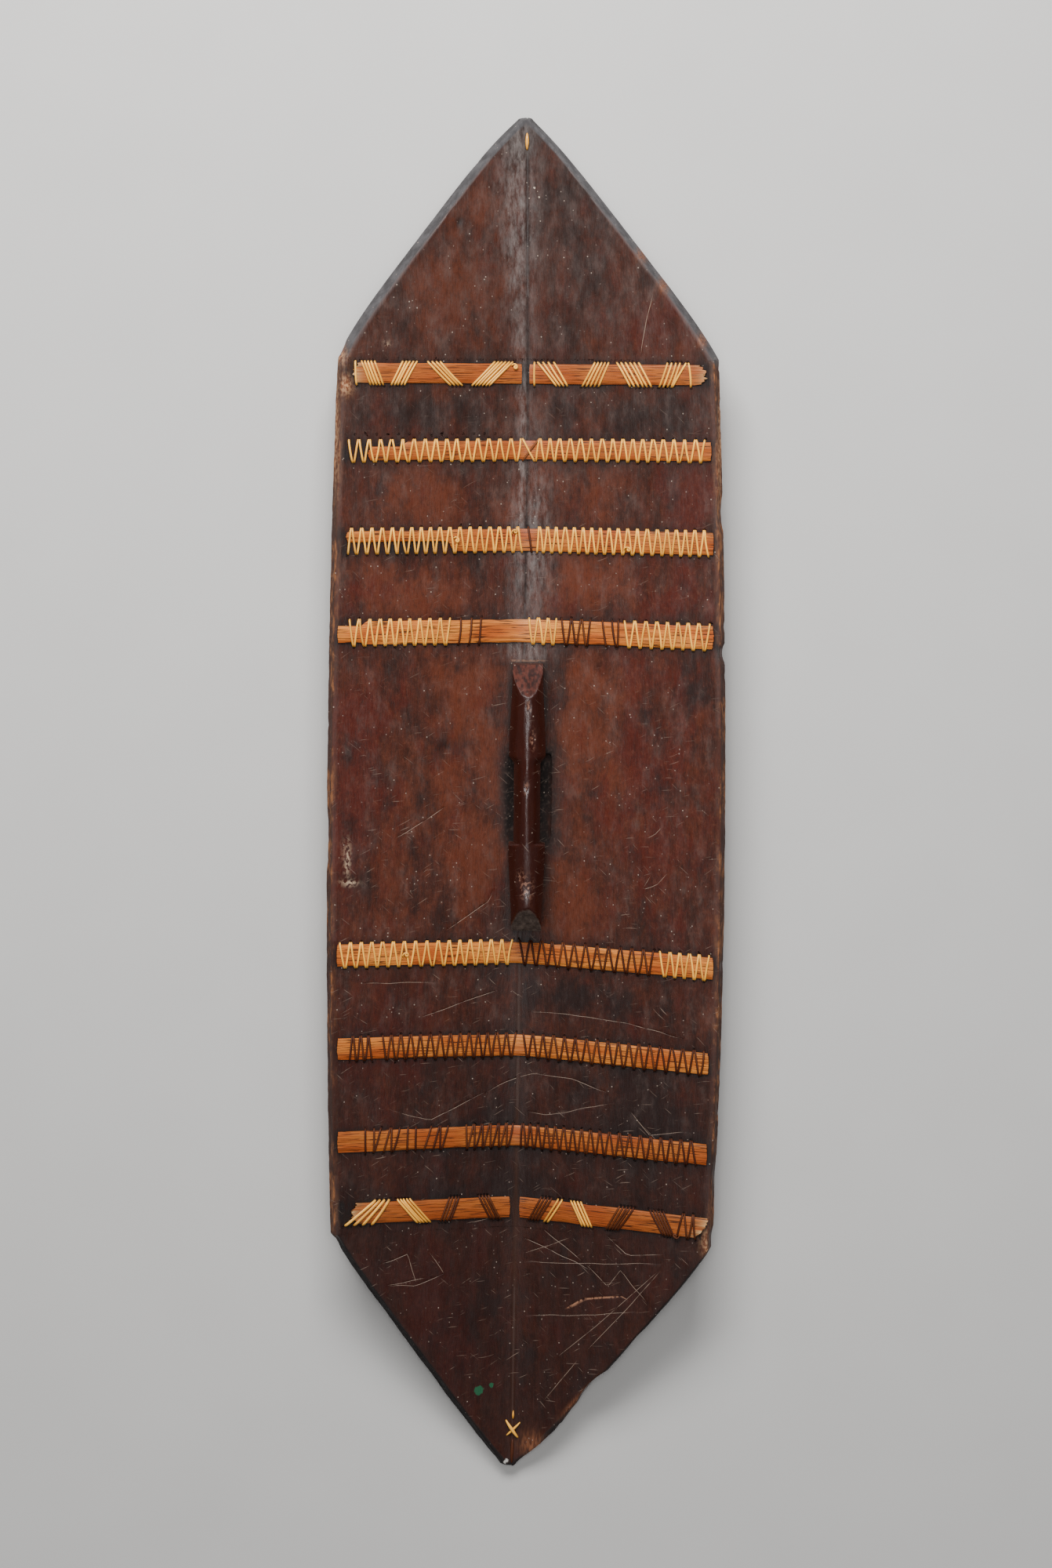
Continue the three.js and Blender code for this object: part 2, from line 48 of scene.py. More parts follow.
# The sloping end edges, top left, top right, bottom left and bottom right: half width of the blunt tip,
# outward bow, width of the bevel, and the shoulder where each meets the long side
TIP_HALF = (8.5, 5, 11, 4.5)
END_BOW = (6.6, 5, 2.6, 5.4)
END_BEVEL = (7, 5.6, 6.5, 3.5)
SHOULDER_HALF = (168.3, 166.3, 173, 170)
SHOULDER_Y = (398, 398, -382, -391)
SIDE_BEVEL = 5
TIP_BEVEL_SHARE = 0.55
TIP_ROUND = 2
TIP_TURN = 1.5
WING_SLOPE = 0.389
WALL = 14
RIDGE_ROUND = 10
RIDGE_FLAT_HALF = 12
VALLEY_ROUND_MIDDLE = 22
VALLEY_ROUND_END = 6
VALLEY_ROUND_REACH = 380
VALLEY_PEAK_X = -0.8
VALLEY_PEAK_Y = 330
VALLEY_LEAN = 0.0086
CREASE_DEPTH = 0.8
CREASE_HALF = 1.6


def mix(start, end, share):
    """The value that lies a share of the way from start to end."""
    return start + (end - start) * share


def ease(value, start, end):
    """0 before start, 1 past end, and a smooth slope between them."""
    share = np.clip((value - start) / (end - start), 0, 1)
    return share * share * (3 - 2 * share)


def bumps(x, y, seed):
    """Smooth random swells from -1 to 1, about one to a unit of x and of y."""
    tile = 64
    lattice = np.random.default_rng(seed).uniform(-1, 1, (tile, tile))
    x, y = np.broadcast_arrays(np.asarray(x, float), np.asarray(y, float))
    column, row = np.floor(x).astype(int), np.floor(y).astype(int)
    right, up = ease(x - column, 0, 1), ease(y - row, 0, 1)
    near = mix(lattice[column % tile, row % tile], lattice[(column + 1) % tile, row % tile], right)
    row = row + 1
    far = mix(lattice[column % tile, row % tile], lattice[(column + 1) % tile, row % tile], right)
    return mix(near, far, up)


def valley_x(y):
    """Where the valley of the V runs: straight, with a slight bend near the top."""
    return VALLEY_PEAK_X - VALLEY_LEAN * np.hypot(y - VALLEY_PEAK_Y, VALLEY_ROUND_MIDDLE)


FRONT_DROP = WING_SLOPE * math.hypot(RIDGE_FLAT_HALF, RIDGE_ROUND)


def inner_z(x, y):
    """Height of the plain inner face: two wings that meet in a valley, rounder by the grip."""
    valley_round = mix(VALLEY_ROUND_MIDDLE, VALLEY_ROUND_END, ease(np.abs(y), 0, VALLEY_ROUND_REACH))
    return WING_SLOPE * np.hypot(x - valley_x(y), valley_round) + WALL - FRONT_DROP


def front_z(x, y):
    """Height of the plain front face, which lies on the flat of its ridge."""
    return np.maximum(0, WING_SLOPE * np.hypot(x - valley_x(y), RIDGE_ROUND) - FRONT_DROP)


def at_edge(side, end, values):
    """The one of four values that belongs to a side and an end of the board."""
    top_left, top_right, bottom_left, bottom_right = values
    top = np.where(side < 0, top_left, top_right)
    return np.where(end > 0, top, np.where(side < 0, bottom_left, bottom_right))


def side_half(side, y):
    """Half width of the board at a place along one long side."""
    end = np.where(y > WIDEST_Y, 1, -1)
    share = (y - WIDEST_Y) / (at_edge(side, end, SHOULDER_Y) - WIDEST_Y)
    return mix(WIDEST_HALF, at_edge(side, end, SHOULDER_HALF), share**2)


def end_bow(side, end, away):
    """How far an end edge bows outwards, at a share of the way from tip to shoulder."""
    return at_edge(side, end, END_BOW) * (1 - (2 * away - 1) ** 4)


def end_edge(side, end):
    """Tip, run to the shoulder and outward direction of one sloping end edge."""
    tip_x = valley_x(end * TIP_Y) + side * at_edge(side, end, TIP_HALF)
    tip_y = end * (TIP_Y - TIP_ROUND)
    run_x = side * at_edge(side, end, SHOULDER_HALF) - tip_x
    run_y = at_edge(side, end, SHOULDER_Y) - tip_y
    run = np.hypot(run_x, run_y)
    return tip_x, tip_y, run_x, run_y, side * np.abs(run_y) / run, end * np.abs(run_x) / run


# Bites out of the rim: side of the board, place along it, half length and depth. A swell has a depth below 0
CHIPS = [
    (-1, 404, 9, 1),
    (-1, -25, 26, 1.6),
    (1, 265, 16, 2),
    (1, 141, 9, 2.5),
    (1, -330, 30, 0.8),
    (1, -384, 12, 1.5),
    (1, -531, 16, 3),
    (1, -578, 24, -2.4),
]
NIBBLE_LENGTH = 4.5
LONG_NIBBLE = 2.7 * NIBBLE_LENGTH
NIBBLE_DEPTH = 0.45
SPLINTER_LENGTH = 15
SPLINTER_DEPTH = 4.5
SPLINTER_START = 0.55
TOP_SLOPE_SHARE = 0.25
TIP_CLEAR = 8


def chip_depth(side, y):
    """How deep the chips cut into one side of the rim."""
    depth = 0
    for chip_side, chip_y, half, chip in CHIPS:
        if chip_side == side:
            depth = depth + np.maximum(0, 1 - ((y - chip_y) / half) ** 2) * chip
    return depth


def nibble_depth(side, y):
    """How deep nibbles and splinters cut into the rim, less on the top slopes and not at the tips."""
    short, long = bumps(y / NIBBLE_LENGTH, side * 3.3, 11), bumps(y / LONG_NIBBLE, side * 1.9, 14)
    nibble = NIBBLE_DEPTH * (1 + (0.5 * short + 0.5 * long))
    splinter = SPLINTER_DEPTH * np.maximum(0, bumps(y / SPLINTER_LENGTH, side * 5.7, 12) - SPLINTER_START)
    top_slope = ease(y, SHOULDER_Y[0] - 5, SHOULDER_Y[0] + 15)
    return (nibble + splinter) * mix(1, TOP_SLOPE_SHARE, top_slope) * ease(TIP_Y - np.abs(y), 0, TIP_CLEAR)


def rim(side, share):
    """Front outline from the top tip (0) by both shoulders (1, 2) to the bottom tip (3), with its bevel.
    Shares below 0 and above 3 go round the blunt tips."""
    end = np.where(share < 1.5, 1, -1)
    from_tip = np.where(end > 0, share, 3 - share)
    away = np.clip(from_tip, 0, 1)
    turn = TIP_TURN * np.clip(-from_tip, 0, 1)
    tip_x, tip_y, run_x, run_y, out_x, out_y = end_edge(side, end)
    bow = end_bow(side, end, away)
    x, y = tip_x + away * run_x + bow * out_x, tip_y + away * run_y + bow * out_y
    x = mix(valley_x(end * TIP_Y), x, np.cos(turn))
    y = y + end * TIP_ROUND * np.sin(turn) / math.sin(TIP_TURN)
    out_x = out_x * np.cos(turn)
    bevel = at_edge(side, end, END_BEVEL) * mix(TIP_BEVEL_SHARE, 1, np.minimum(1, 5 * away))
    along_side = (share >= 1) & (share <= 2)
    side_y = mix(at_edge(side, 1, SHOULDER_Y), at_edge(side, -1, SHOULDER_Y), share - 1)
    x = np.where(along_side, side * side_half(side, side_y), x)
    y = np.where(along_side, side_y, y)
    out_x, out_y = np.where(along_side, side, out_x), np.where(along_side, 0, out_y)
    chip = chip_depth(side, y)
    return x - chip * out_x, y - chip * out_y, out_x, out_y, np.where(along_side, SIDE_BEVEL, bevel)


def loft(sections):
    """Points and outward faces of a closed solid through closed sections, each a row of the array."""
    count, around = sections.shape[:2]
    index = np.arange(count * around).reshape(count, around)
    after = np.roll(index, -1, axis=1)
    walls = np.stack([index[:-1], index[1:], after[1:], after[:-1]], axis=-1).reshape(-1, 4).tolist()
    return sections.reshape(-1, 3), walls + [index[0].tolist(), index[-1][::-1].tolist()]


def add_piece(name, solids):
    """A mesh object made of one or more lofted solids given in millimetres."""
    points, faces, start = [], [], 0
    for solid_points, solid_faces in solids:
        points.append(solid_points)
        faces += [[start + corner for corner in face] for face in solid_faces]
        start += len(solid_points)
    mesh = bpy.data.meshes.new(name)
    mesh.from_pydata((np.concatenate(points) * MM).tolist(), [], faces)
    piece = bpy.data.objects.new(name, mesh)
    bpy.context.scene.collection.objects.link(piece)
    return piece


# Scars of the inner face: x, y, half width and half length
GOUGE = (-158.5, -42, 2, 14)
DENT = (-156, -65, 6, 2.4)
KNOT = (-73, 52, 5, 4)
TOP_KNOT = (-63, 517, 2.5, 3)
PALE_SPOT = (-125, 410, 1.7, 1.7)
SCAR_DEPTH = 1.3
# Strokes of adze and knife, and the swell of the grain: height, width and length
TOOL_MARKS = [(0.34, 24, 150), (0.16, 10, 70), (0.07, 4.5, 45)]
CREASE_FADE = (580, 600)


def scar(x, y, marks):
    """1 in the middle of a scar, fading to 0 past its edge, for the nearest of them."""
    shares = [np.exp(-(((x - m[0]) / m[2]) ** 2) - ((y - m[1]) / m[3]) ** 2) for m in marks]
    return np.max(shares, axis=0)


def hewn_relief(x, y):
    """Height of tool marks, grain swells, crease and scars over the plain inner face."""
    height = 0
    for seed, (swell, width, length) in enumerate(TOOL_MARKS, 1):
        height = height + swell * bumps(x / width, y / length, seed)
    crease = CREASE_DEPTH * np.exp(-(((x - valley_x(y)) / CREASE_HALF) ** 2))
    crease = crease * (1 - ease(np.abs(y), *CREASE_FADE))
    return height - crease - SCAR_DEPTH * scar(x, y, [GOUGE, DENT, KNOT, TOP_KNOT])


def hewn_face(x, y):
    """Height of the inner face as the tools and the years left it."""
    return inner_z(x, y) + hewn_relief(x, y)


FRONT_UNEVEN = 0.5
FRONT_SWELL_WIDTH = 20
FRONT_SWELL_LENGTH = 120


def smooth_front(x, y):
    """Height of the front face, slightly uneven away from its ridge."""
    plain = front_z(x, y)
    swell = 1 + bumps(x / FRONT_SWELL_WIDTH, y / FRONT_SWELL_LENGTH, 4)
    return plain + FRONT_UNEVEN * ease(plain, 0, 4) * swell


TIP_ROWS = 6
END_ROWS = 76
SIDE_ROWS = 280
INNER_COLUMNS = 56
FRONT_COLUMNS = 18
row_share = np.concatenate(
    [
        np.linspace(-1, 0, TIP_ROWS, endpoint=False),
        np.linspace(0, 1, END_ROWS, endpoint=False),
        np.linspace(1, 2, SIDE_ROWS, endpoint=False),
        np.linspace(2, 3, END_ROWS + 1),
        np.linspace(3, 4, TIP_ROWS + 1)[1:],
    ]
)
# From the inner arris to the front edge: share of the bevel, share of the height, share of the nibbles
RIM_RINGS = [(0.08, 0.06, 0.25), (0.4, 0.36, 0.7), (0.75, 0.72, 1.15), (1, 0.96, 1)]
RAGGED_LENGTH = 4
RAGGED_DEPTH = 0.5
ARRIS = 1.1
ARRIS_BITE = 0.3


def rim_loops(side):
    """Rows of rim points from the inner arris outwards, and the two lines where the faces end."""
    x, y, out_x, out_y, bevel = rim(side, row_share)

    def inset(depth):
        """The outline moved inwards."""
        return x - depth * out_x, y - depth * out_y

    high, low = inner_z(*inset(bevel)), front_z(x, y)
    nibble = nibble_depth(side, y)
    rings = []
    for across, down, bite in RIM_RINGS:
        ragged = RAGGED_DEPTH * bumps(y / RAGGED_LENGTH, across * 9 + side, 13) * (0 < across < 1)
        ring_x, ring_y = inset(bevel * (1 - across) + bite * nibble + ragged * bite)
        rings.append(np.stack([ring_x, ring_y, mix(high, low, down)], axis=-1))
    inner_line = inset(bevel + ARRIS + ARRIS_BITE * nibble)
    front_line = inset(ARRIS + nibble)
    return np.stack(rings, axis=1), inner_line, front_line


FLAT_MOST = 0.6


def face_rows(left, right, shares, flat, surface):
    """Points of a face, row by row from the left rim over the valley to the right rim."""
    middle = valley_x((left[1] + right[1]) / 2)[:, None]

    def reach(rim_x):
        """Places from the flat in the middle, or a share of the way where it is wider, out to the rim."""
        out = rim_x[:, None] - middle
        kept = np.minimum(flat, FLAT_MOST * np.abs(out)) * np.sign(out)
        return mix(middle + kept, rim_x[:, None], shares)

    x = np.concatenate([reach(left[0])[:, ::-1], middle, reach(right[0])], axis=1)
    along = (x - left[0][:, None]) / (right[0] - left[0])[:, None]
    y = mix(left[1][:, None], right[1][:, None], along)
    return np.stack([x, y, surface(x, y)], axis=-1)


# The inner face has its columns closer together by the valley, where the crease is
even_steps = np.arange(1, INNER_COLUMNS + 1) / INNER_COLUMNS
inner_steps = 0.6 * even_steps + 0.4 * even_steps**2
front_steps = np.arange(0, FRONT_COLUMNS + 1) / FRONT_COLUMNS
left_rings, left_inner, left_front = rim_loops(-1)
right_rings, right_inner, right_front = rim_loops(1)
inner_face = face_rows(left_inner, right_inner, inner_steps, 0, hewn_face)
front_face = face_rows(left_front, right_front, front_steps, RIDGE_FLAT_HALF, smooth_front)
sections = np.concatenate([inner_face, right_rings, front_face[:, ::-1], left_rings[:, ::-1]], axis=1)
board = add_piece("shield_board", [loft(sections)])

# The grip: a crowned bar left standing from the same plank, with sloping ends, broad feet and a narrower
# hand hold. The finger hollow is cut through under the hold and a little way into the board.
GRIP_X = 0.8
GRIP_TOP_END = 128
GRIP_BOTTOM_END = -110
GRIP_TOP_FACET = 29
GRIP_BOTTOM_FACET = 22
GRIP_CROWN_Z = 61
GRIP_END_Z = 44
GRIP_END_HALF = 13.3
GRIP_FOOT_HALF = 16.3
GRIP_HAND_HALF = 11.8
GRIP_SIDE_DROP = 13
GRIP_ROOT_Z = 6
GRIP_EDGE_ROUND = 0.5
UPPER_NOTCH = 8
LOWER_STEP = 2
FINGER_TOP = 47
FINGER_BOTTOM = -32.5
FINGER_ROOF_Z = 37
FINGER_FLOOR_Z = 14.5
FINGER_CORNER = 6
FINGER_LEFT = -17.5
FINGER_RIGHT = 22
FINGER_STATIONS = 30
# Chips in the crown, 1 mm deep: x, y, half width and half length
GRIP_CHIPS = [(2, 92, 1.6, 5), (5.5, 63, 1.8, 8), (0, 20, 2, 5), (1, -70, 5, 9), (-4, -62, 3, 6)]


def grip_half(y):
    """Half width of the grip: broad feet, with a soft notch above the hand hold and a step below it."""
    foot_top = mix(GRIP_FOOT_HALF, GRIP_END_HALF, ease(y, FINGER_TOP, GRIP_TOP_END))
    foot_bottom = mix(GRIP_FOOT_HALF, GRIP_END_HALF, ease(-y, -FINGER_BOTTOM, -GRIP_BOTTOM_END))
    upper_notch = ease(y, FINGER_TOP + 1 - UPPER_NOTCH, FINGER_TOP + 1)
    lower_step = ease(-y, -FINGER_BOTTOM - LOWER_STEP, -FINGER_BOTTOM)
    foot = np.where(y > 0, foot_top, foot_bottom)
    return mix(GRIP_HAND_HALF, foot, np.maximum(upper_notch, lower_step))


def grip_crown(share):
    """Height of the crown before wear, at a share of the half width."""
    share = np.abs(share)
    return GRIP_CROWN_Z - GRIP_SIDE_DROP * (0.75 * share**2.6 + 0.25 * share**1.6)


def grip_top(x, y, share):
    """Height of the worn crown and the two rough end facets, with a soft edge where they meet."""
    crown = grip_crown(share) + 0.25 * bumps(share * 3, y / 26, 21) - scar(x, y, GRIP_CHIPS)
    rise = GRIP_CROWN_Z - GRIP_END_Z
    top_facet = GRIP_END_Z + (GRIP_TOP_END - y) * rise / GRIP_TOP_FACET
    top_facet = top_facet + 0.45 * bumps(x / 2.4, y / 3, 22)
    bottom_facet = GRIP_END_Z + (y - GRIP_BOTTOM_END) * rise / GRIP_BOTTOM_FACET
    bottom_facet = bottom_facet + 0.6 * bumps(x / 2.4, y / 2.6, 23)
    lowest = np.minimum(crown, np.minimum(top_facet, bottom_facet))
    spread = [np.exp((lowest - surface) / GRIP_EDGE_ROUND) for surface in (crown, top_facet, bottom_facet)]
    return lowest - GRIP_EDGE_ROUND * np.log(sum(spread))


GRIP_STATIONS = 220
GRIP_COLUMNS = 33
station = np.linspace(GRIP_TOP_END, GRIP_BOTTOM_END, GRIP_STATIONS)[:, None]
across = np.sin(np.linspace(-math.pi / 2, math.pi / 2, GRIP_COLUMNS))[None, :]
grip_x = GRIP_X + grip_half(station) * across
grip_y = np.broadcast_to(station, grip_x.shape)
crown = np.stack([grip_x, grip_y, grip_top(grip_x, grip_y, across)], axis=-1)
root = np.stack([grip_x, grip_y, np.full(grip_x.shape, GRIP_ROOT_Z)], axis=-1)[:, [-1, 0]]
grip = add_piece("grip", [loft(np.concatenate([crown, root], axis=1))])


def finger_hollow():
    """The cutter for the finger hollow, with rounded ends, a flat roof and a scooped floor."""
    middle, reach = (FINGER_TOP + FINGER_BOTTOM) / 2, (FINGER_TOP - FINGER_BOTTOM) / 2
    y = middle + reach * np.sin(np.linspace(math.pi / 2, -math.pi / 2, FINGER_STATIONS))[:, None]
    past = np.maximum(0, np.abs(y - middle) - (reach - FINGER_CORNER))
    lost = FINGER_CORNER - np.sqrt(np.maximum(0.05, FINGER_CORNER**2 - past**2))
    ragged = 0.5 * bumps(y / 6, 0, 24)
    left, right = FINGER_LEFT - 1 + 0.5 * lost + ragged, FINGER_RIGHT + 1 - 0.5 * lost + ragged
    floor, roof = FINGER_FLOOR_Z + 0.3 * bumps(y / 7, 1, 25), FINGER_ROOF_Z - lost
    soft, scoop, brink = 1, 4, FINGER_FLOOR_Z + 5 + 0 * y
    x = [left, left + soft, right - soft, right, right, right - scoop, right - 2 * scoop]
    x = np.concatenate(x + [left + 2 * scoop, left + scoop, left], axis=1)
    z = [roof - soft, roof, roof, roof - soft, brink, floor + soft, floor, floor, floor + soft, brink]
    z = np.concatenate(z, axis=1)
    return loft(np.stack([x, np.broadcast_to(y, x.shape), z], axis=-1))


def carve(body, tools, operation):
    """Joins solids to the body or cuts them away, for good."""
    group = bpy.data.collections.new("tools")
    for tool in tools:
        group.objects.link(tool)
    modifier = body.modifiers.new("carve", "BOOLEAN")
    modifier.operand_type, modifier.collection = "COLLECTION", group
    modifier.operation, modifier.solver = operation, "MANIFOLD"
    carved = bpy.data.meshes.new_from_object(body.evaluated_get(bpy.context.evaluated_depsgraph_get()))
    body.modifiers.clear()
    body.data = carved
    for tool in tools:
        bpy.data.objects.remove(tool)
    bpy.data.collections.remove(group)


carve(board, [grip], "UNION")

# The lacing holes: two lines of small drilled holes for each row, just above and below its rattan strip.
# Each stretch of lacing is a list of legs that cross the strip from one hole to another.
# Rows: place of the middle at x = 0, lean across the board and half the strip's width
ROWS = {
    1: (384.5, 0, 8.75),
    2: (317.2, 0.006, 8.25),
    3: (237.4, 0, 9.75),
    4: (156, -0.005, 10.2),
    5: (-134, -0.026, 9.7),
    6: (-219, -0.032, 9.6),
    7: (-302, -0.025, 9.4),
    8: (-368, -0.03, 9.4),
}
UP = 1
DOWN = -1
LACE_REACH = 2.8
LACE_WOBBLE = 0.6
HOLE_RADIUS = 1.35
HOLE_DEPTH = 6
HOLE_SIDES = 8
BORE_LEVELS = [(1.15, 2.5), (1, 0), (0.75, -HOLE_DEPTH)]
# A new hole is left out if it would run into one of this many before it
LATEST_HOLES = 60
# A line of spare holes above the left half of the second row
SPARE_HOLES = 15
SPARE_START = -152
SPARE_PITCH = 9.4
SPARE_REACH = 6.4


def run(*tips):
    """Legs from tip to tip, each tip a place along the row and the side of the strip that it is on."""
    return list(zip(tips, tips[1:]))


def stroke(top, bottom):
    """One leg from above the strip to below it."""
    return run((top, UP), (bottom, DOWN))


def wrap(strands, top, bottom):
    """Strands side by side, spread evenly above and below the strip."""
    shares = np.linspace(0, 1, strands)
    return [leg for share in shares for leg in stroke(mix(*top, share), mix(*bottom, share))]


def zigzag(row, start, end, count, first=UP, phase=0.5, spread=1):
    """Pairs of legs at an even pitch, a little uneven as sewn by hand."""
    tips = []
    for i in range(2 * count + 1):
        step = (i - 1) / 2 + phase if i % 2 else i / 2
        uneven = LACE_WOBBLE * math.sin(i * 12.9 + row * 7.8) if 0 < i < 2 * count else 0
        place = mix(start, end, min(1, step / count) ** spread) + uneven
        tips.append((place, -first if i % 2 else first))
    return run(*tips)


ROW_2_LEFT = zigzag(2, -158, -6.5, 16)
ROW_2_RIGHT = zigzag(2, 10.2, 155, 16)
ROW_2_CROSSING = run((-6.5, UP), (6.2, DOWN), (10.2, UP))
LACING = [
    (1, "light", stroke(-152.5, -150.3)),
    (1, "light", wrap(5, (-147.8, -136.5), (-138, -127))),
    (1, "light", wrap(5, (-110, -97.5), (-122, -110.7))),
    (1, "light", wrap(4, (-91, -80), (-67.5, -57.5))),
    (1, "light", wrap(6, (-29, -13), (-52, -37))),
    (1, "light", wrap(4, (6, 20.5), (25.5, 35)) + stroke(4.8, 4.8)),
    (1, "light", wrap(5, (59, 71), (46, 60.5))),
    (1, "light", wrap(6, (76, 95), (90, 108.5))),
    (1, "light", wrap(4, (122, 133), (113.5, 124)) + run((124.7, DOWN), (138.5, UP), (142, DOWN))),
    (2, "light", ROW_2_LEFT + ROW_2_CROSSING + ROW_2_RIGHT),
    (3, "light", zigzag(3, -158.5, -4.5, 18, DOWN)),
    (3, "dark", stroke(-0.5, 4)),
    (3, "light", zigzag(3, 7.5, 159.5, 19, DOWN, spread=1.06)),
    (4, "light", zigzag(4, -157, -68, 10)),
    (4, "dark", stroke(-58.7, -62)),
    (4, "dark", stroke(-49.1, -52.5)),
    (4, "dark", stroke(-40.6, -43.5)),
    (4, "light", zigzag(4, 1, 26.5, 3)),
    (4, "dark", zigzag(4, 30, 56.5, 3)),
    (4, "dark", stroke(66, 70.8)),
    (4, "dark", run((74.5, UP), (79.5, DOWN), (81, UP))),
    (4, "light", zigzag(4, 85.5, 161, 8)),
    (5, "light", zigzag(5, -165, -10.5, 16)),
    (5, "dark", zigzag(5, -5.5, 115, 12)),
    (5, "light", zigzag(5, 119.5, 164, 5)),
    (6, "dark", zigzag(6, -156, -135, 3, DOWN)),
    (6, "dark", zigzag(6, -127, -7, 14)),
    (6, "dark", zigzag(6, -1.5, 160, 17)),
    (7, "dark", stroke(-140.8, -141.5)),
    (7, "dark", run((-133.2, UP), (-134.6, DOWN), (-127, UP))),
    (7, "dark", run((-126, DOWN), (-118.5, UP), (-118, DOWN), (-110.3, UP))),
    (7, "dark", stroke(-103, -104.8)),
    (7, "dark", stroke(-96, -97.3)),
    (7, "dark", stroke(-82, -90.6)),
    (7, "dark", run((-82.5, DOWN), (-75, UP), (-74.6, DOWN), (-67, UP))),
    (7, "dark", zigzag(7, -51.2, -9, 6, phase=0.06)),
    (7, "dark", zigzag(7, -2.8, 154.5, 19, DOWN, spread=1.13)),
    (8, "light", wrap(4, (-130.5, -119), (-161, -137))),
    (8, "light", wrap(5, (-114.5, -103.5), (-93.5, -82))),
    (8, "dark", wrap(4, (-65.5, -57), (-75.5, -67))),
    (8, "dark", wrap(4, (-41, -32.5), (-28, -19.5))),
    (8, "dark", wrap(4, (17.5, 27), (4, 12))),
    (8, "light", wrap(2, (33, 36.5), (18, 21))),
    (8, "light", wrap(4, (42, 51), (54.5, 63))),
    (8, "dark", wrap(5, (88, 100.5), (74, 83.5))),
    (
        8,
        "dark",
        wrap(5, (112.5, 124.5), (127, 136.5))
        + run((137, DOWN), (143.6, UP), (147, DOWN), (152, UP), (154.5, DOWN)),
    ),
]


def over_row(row, u, v, height):
    """A point over a row: u along it, v across it towards the top tip, at a height above the board."""
    place, lean, half = ROWS[row]
    y = place + lean * u + v
    return np.stack(np.broadcast_arrays(u, y, inner_z(u, y) + height), axis=-1)


def hole_places():
    """One place for each hole, with holes that would run together taken once."""
    places = []
    for row, _, legs in LACING:
        reach = ROWS[row][2] + LACE_REACH
        for u, side in [tip for leg in legs for tip in leg]:
            point = over_row(row, u, side * reach, 0)
            nearby = places[-LATEST_HOLES:]
            if all(np.hypot(*(point - other)[:2]) > HOLE_RADIUS for other in nearby):
                places.append(point)
    for spare in range(SPARE_HOLES):
        places.append(over_row(2, SPARE_START + SPARE_PITCH * spare, ROWS[2][2] + SPARE_REACH, 0))
    return np.array(places)


def drilled(places):
    """A tapering bore down from each place, kept apart from its nearest neighbour."""
    apart = np.hypot(*(places[:, None, :2] - places[None, :, :2]).transpose(2, 0, 1))
    np.fill_diagonal(apart, np.inf)
    radius = np.minimum(HOLE_RADIUS, 0.45 * apart.min(axis=1))
    turn = np.linspace(0, 2 * math.pi, HOLE_SIDES, endpoint=False)
    ring = np.stack([np.sin(turn), np.cos(turn), 0 * turn], axis=-1)
    bores = []
    for place, wide in zip(places, radius):
        levels = [place + ring * wide * size + [0, 0, depth] for size, depth in BORE_LEVELS]
        bores.append(loft(np.array(levels)))
    return bores


carve(board, [add_piece("cuts", [finger_hollow()] + drilled(hole_places()))], "DIFFERENCE")

# Scratches and one broad gouge: dry, pale grooves that knives and thorns have left in the inner face.
# Each runs through a few places, and is cut as a shallow V that fades out at both ends. The finest are
# drawn a little wider than they are, so that they show at all.
SCRATCHES = [
    [(-98, -191), (-19, -166)],
    [(-6, -188), (58, -189), (106, -195), (150, -205)],
    [(-41, -265), (-20, -254), (9, -244), (44, -247), (83, -260)],
    [(-128, -268), (-85, -284), (-31, -259)],
    [(-2, -279), (21, -282), (85, -264)],
    [(93, -268), (112, -293), (149, -286)],
    [(-8, -419), (66, -414), (130, -408)],
    [(-2, -468), (52, -463), (109, -453)],
    [(97, 398), (102, 431), (109, 459)],
    [(113, -56), (103, -72), (116, -67), (128, -53)],
    [(106, -26), (114, -22), (122, -13)],
    [(-74, -114), (-32, -86), (-27, -72)],
    [(-119, -29), (-88, -11), (-69, 2)],
    [(-5, -394), (66, -422)],
    [(52, -411), (77, -434), (88, -418), (115, -450)],
    [(73, -384), (94, -404), (129, -400)],
    [(24, -511), (67, -471), (129, -408)],
    [(18, -548), (53, -501)],
    [(-124, -432), (-96, -434), (-68, -424)],
    [(-86, -403), (-67, -429)],
    [(-131, -413), (-104, -405), (-95, -436)],
    [(-153, -138), (-105, -139)],
    [(-149, -156), (-77, -158)],
    [(16, -385), (56, -415)],
    [(-2, -412), (24, -401), (45, -391)],
    [(53, -501), (94, -453), (129, -408)],
    [(-124, -432), (-86, -428)],
    [(-48, -380), (-19, -375)],
]
BROAD_SCRATCH = [(35, -461), (55, -447), (90, -442), (99, -446)]
SCRATCH_HALF = 0.32
SCRATCH_DEPTH = 0.3
BROAD_HALF = 1.3
BROAD_DEPTH = 0.5
CUTTER_RISE = 1.5
SCRATCH_STEP = 5
SCRATCH_WANDER = 0.7
WANDER_LENGTH = 14
SMOOTH_ANGLE = math.radians(38)


def wandering(line, seed):
    """A line through the places in short, slightly uneven steps."""
    corners = np.array(line, float)
    length = np.concatenate([[0], np.cumsum(np.linalg.norm(np.diff(corners, axis=0), axis=1))])
    stops = np.linspace(0, length[-1], max(5, round(length[-1] / SCRATCH_STEP)))
    aside = SCRATCH_WANDER * bumps(stops / WANDER_LENGTH, seed, 31)
    return np.stack([np.interp(stops, length, corners[:, i]) + aside for i in (0, 1)], axis=-1)


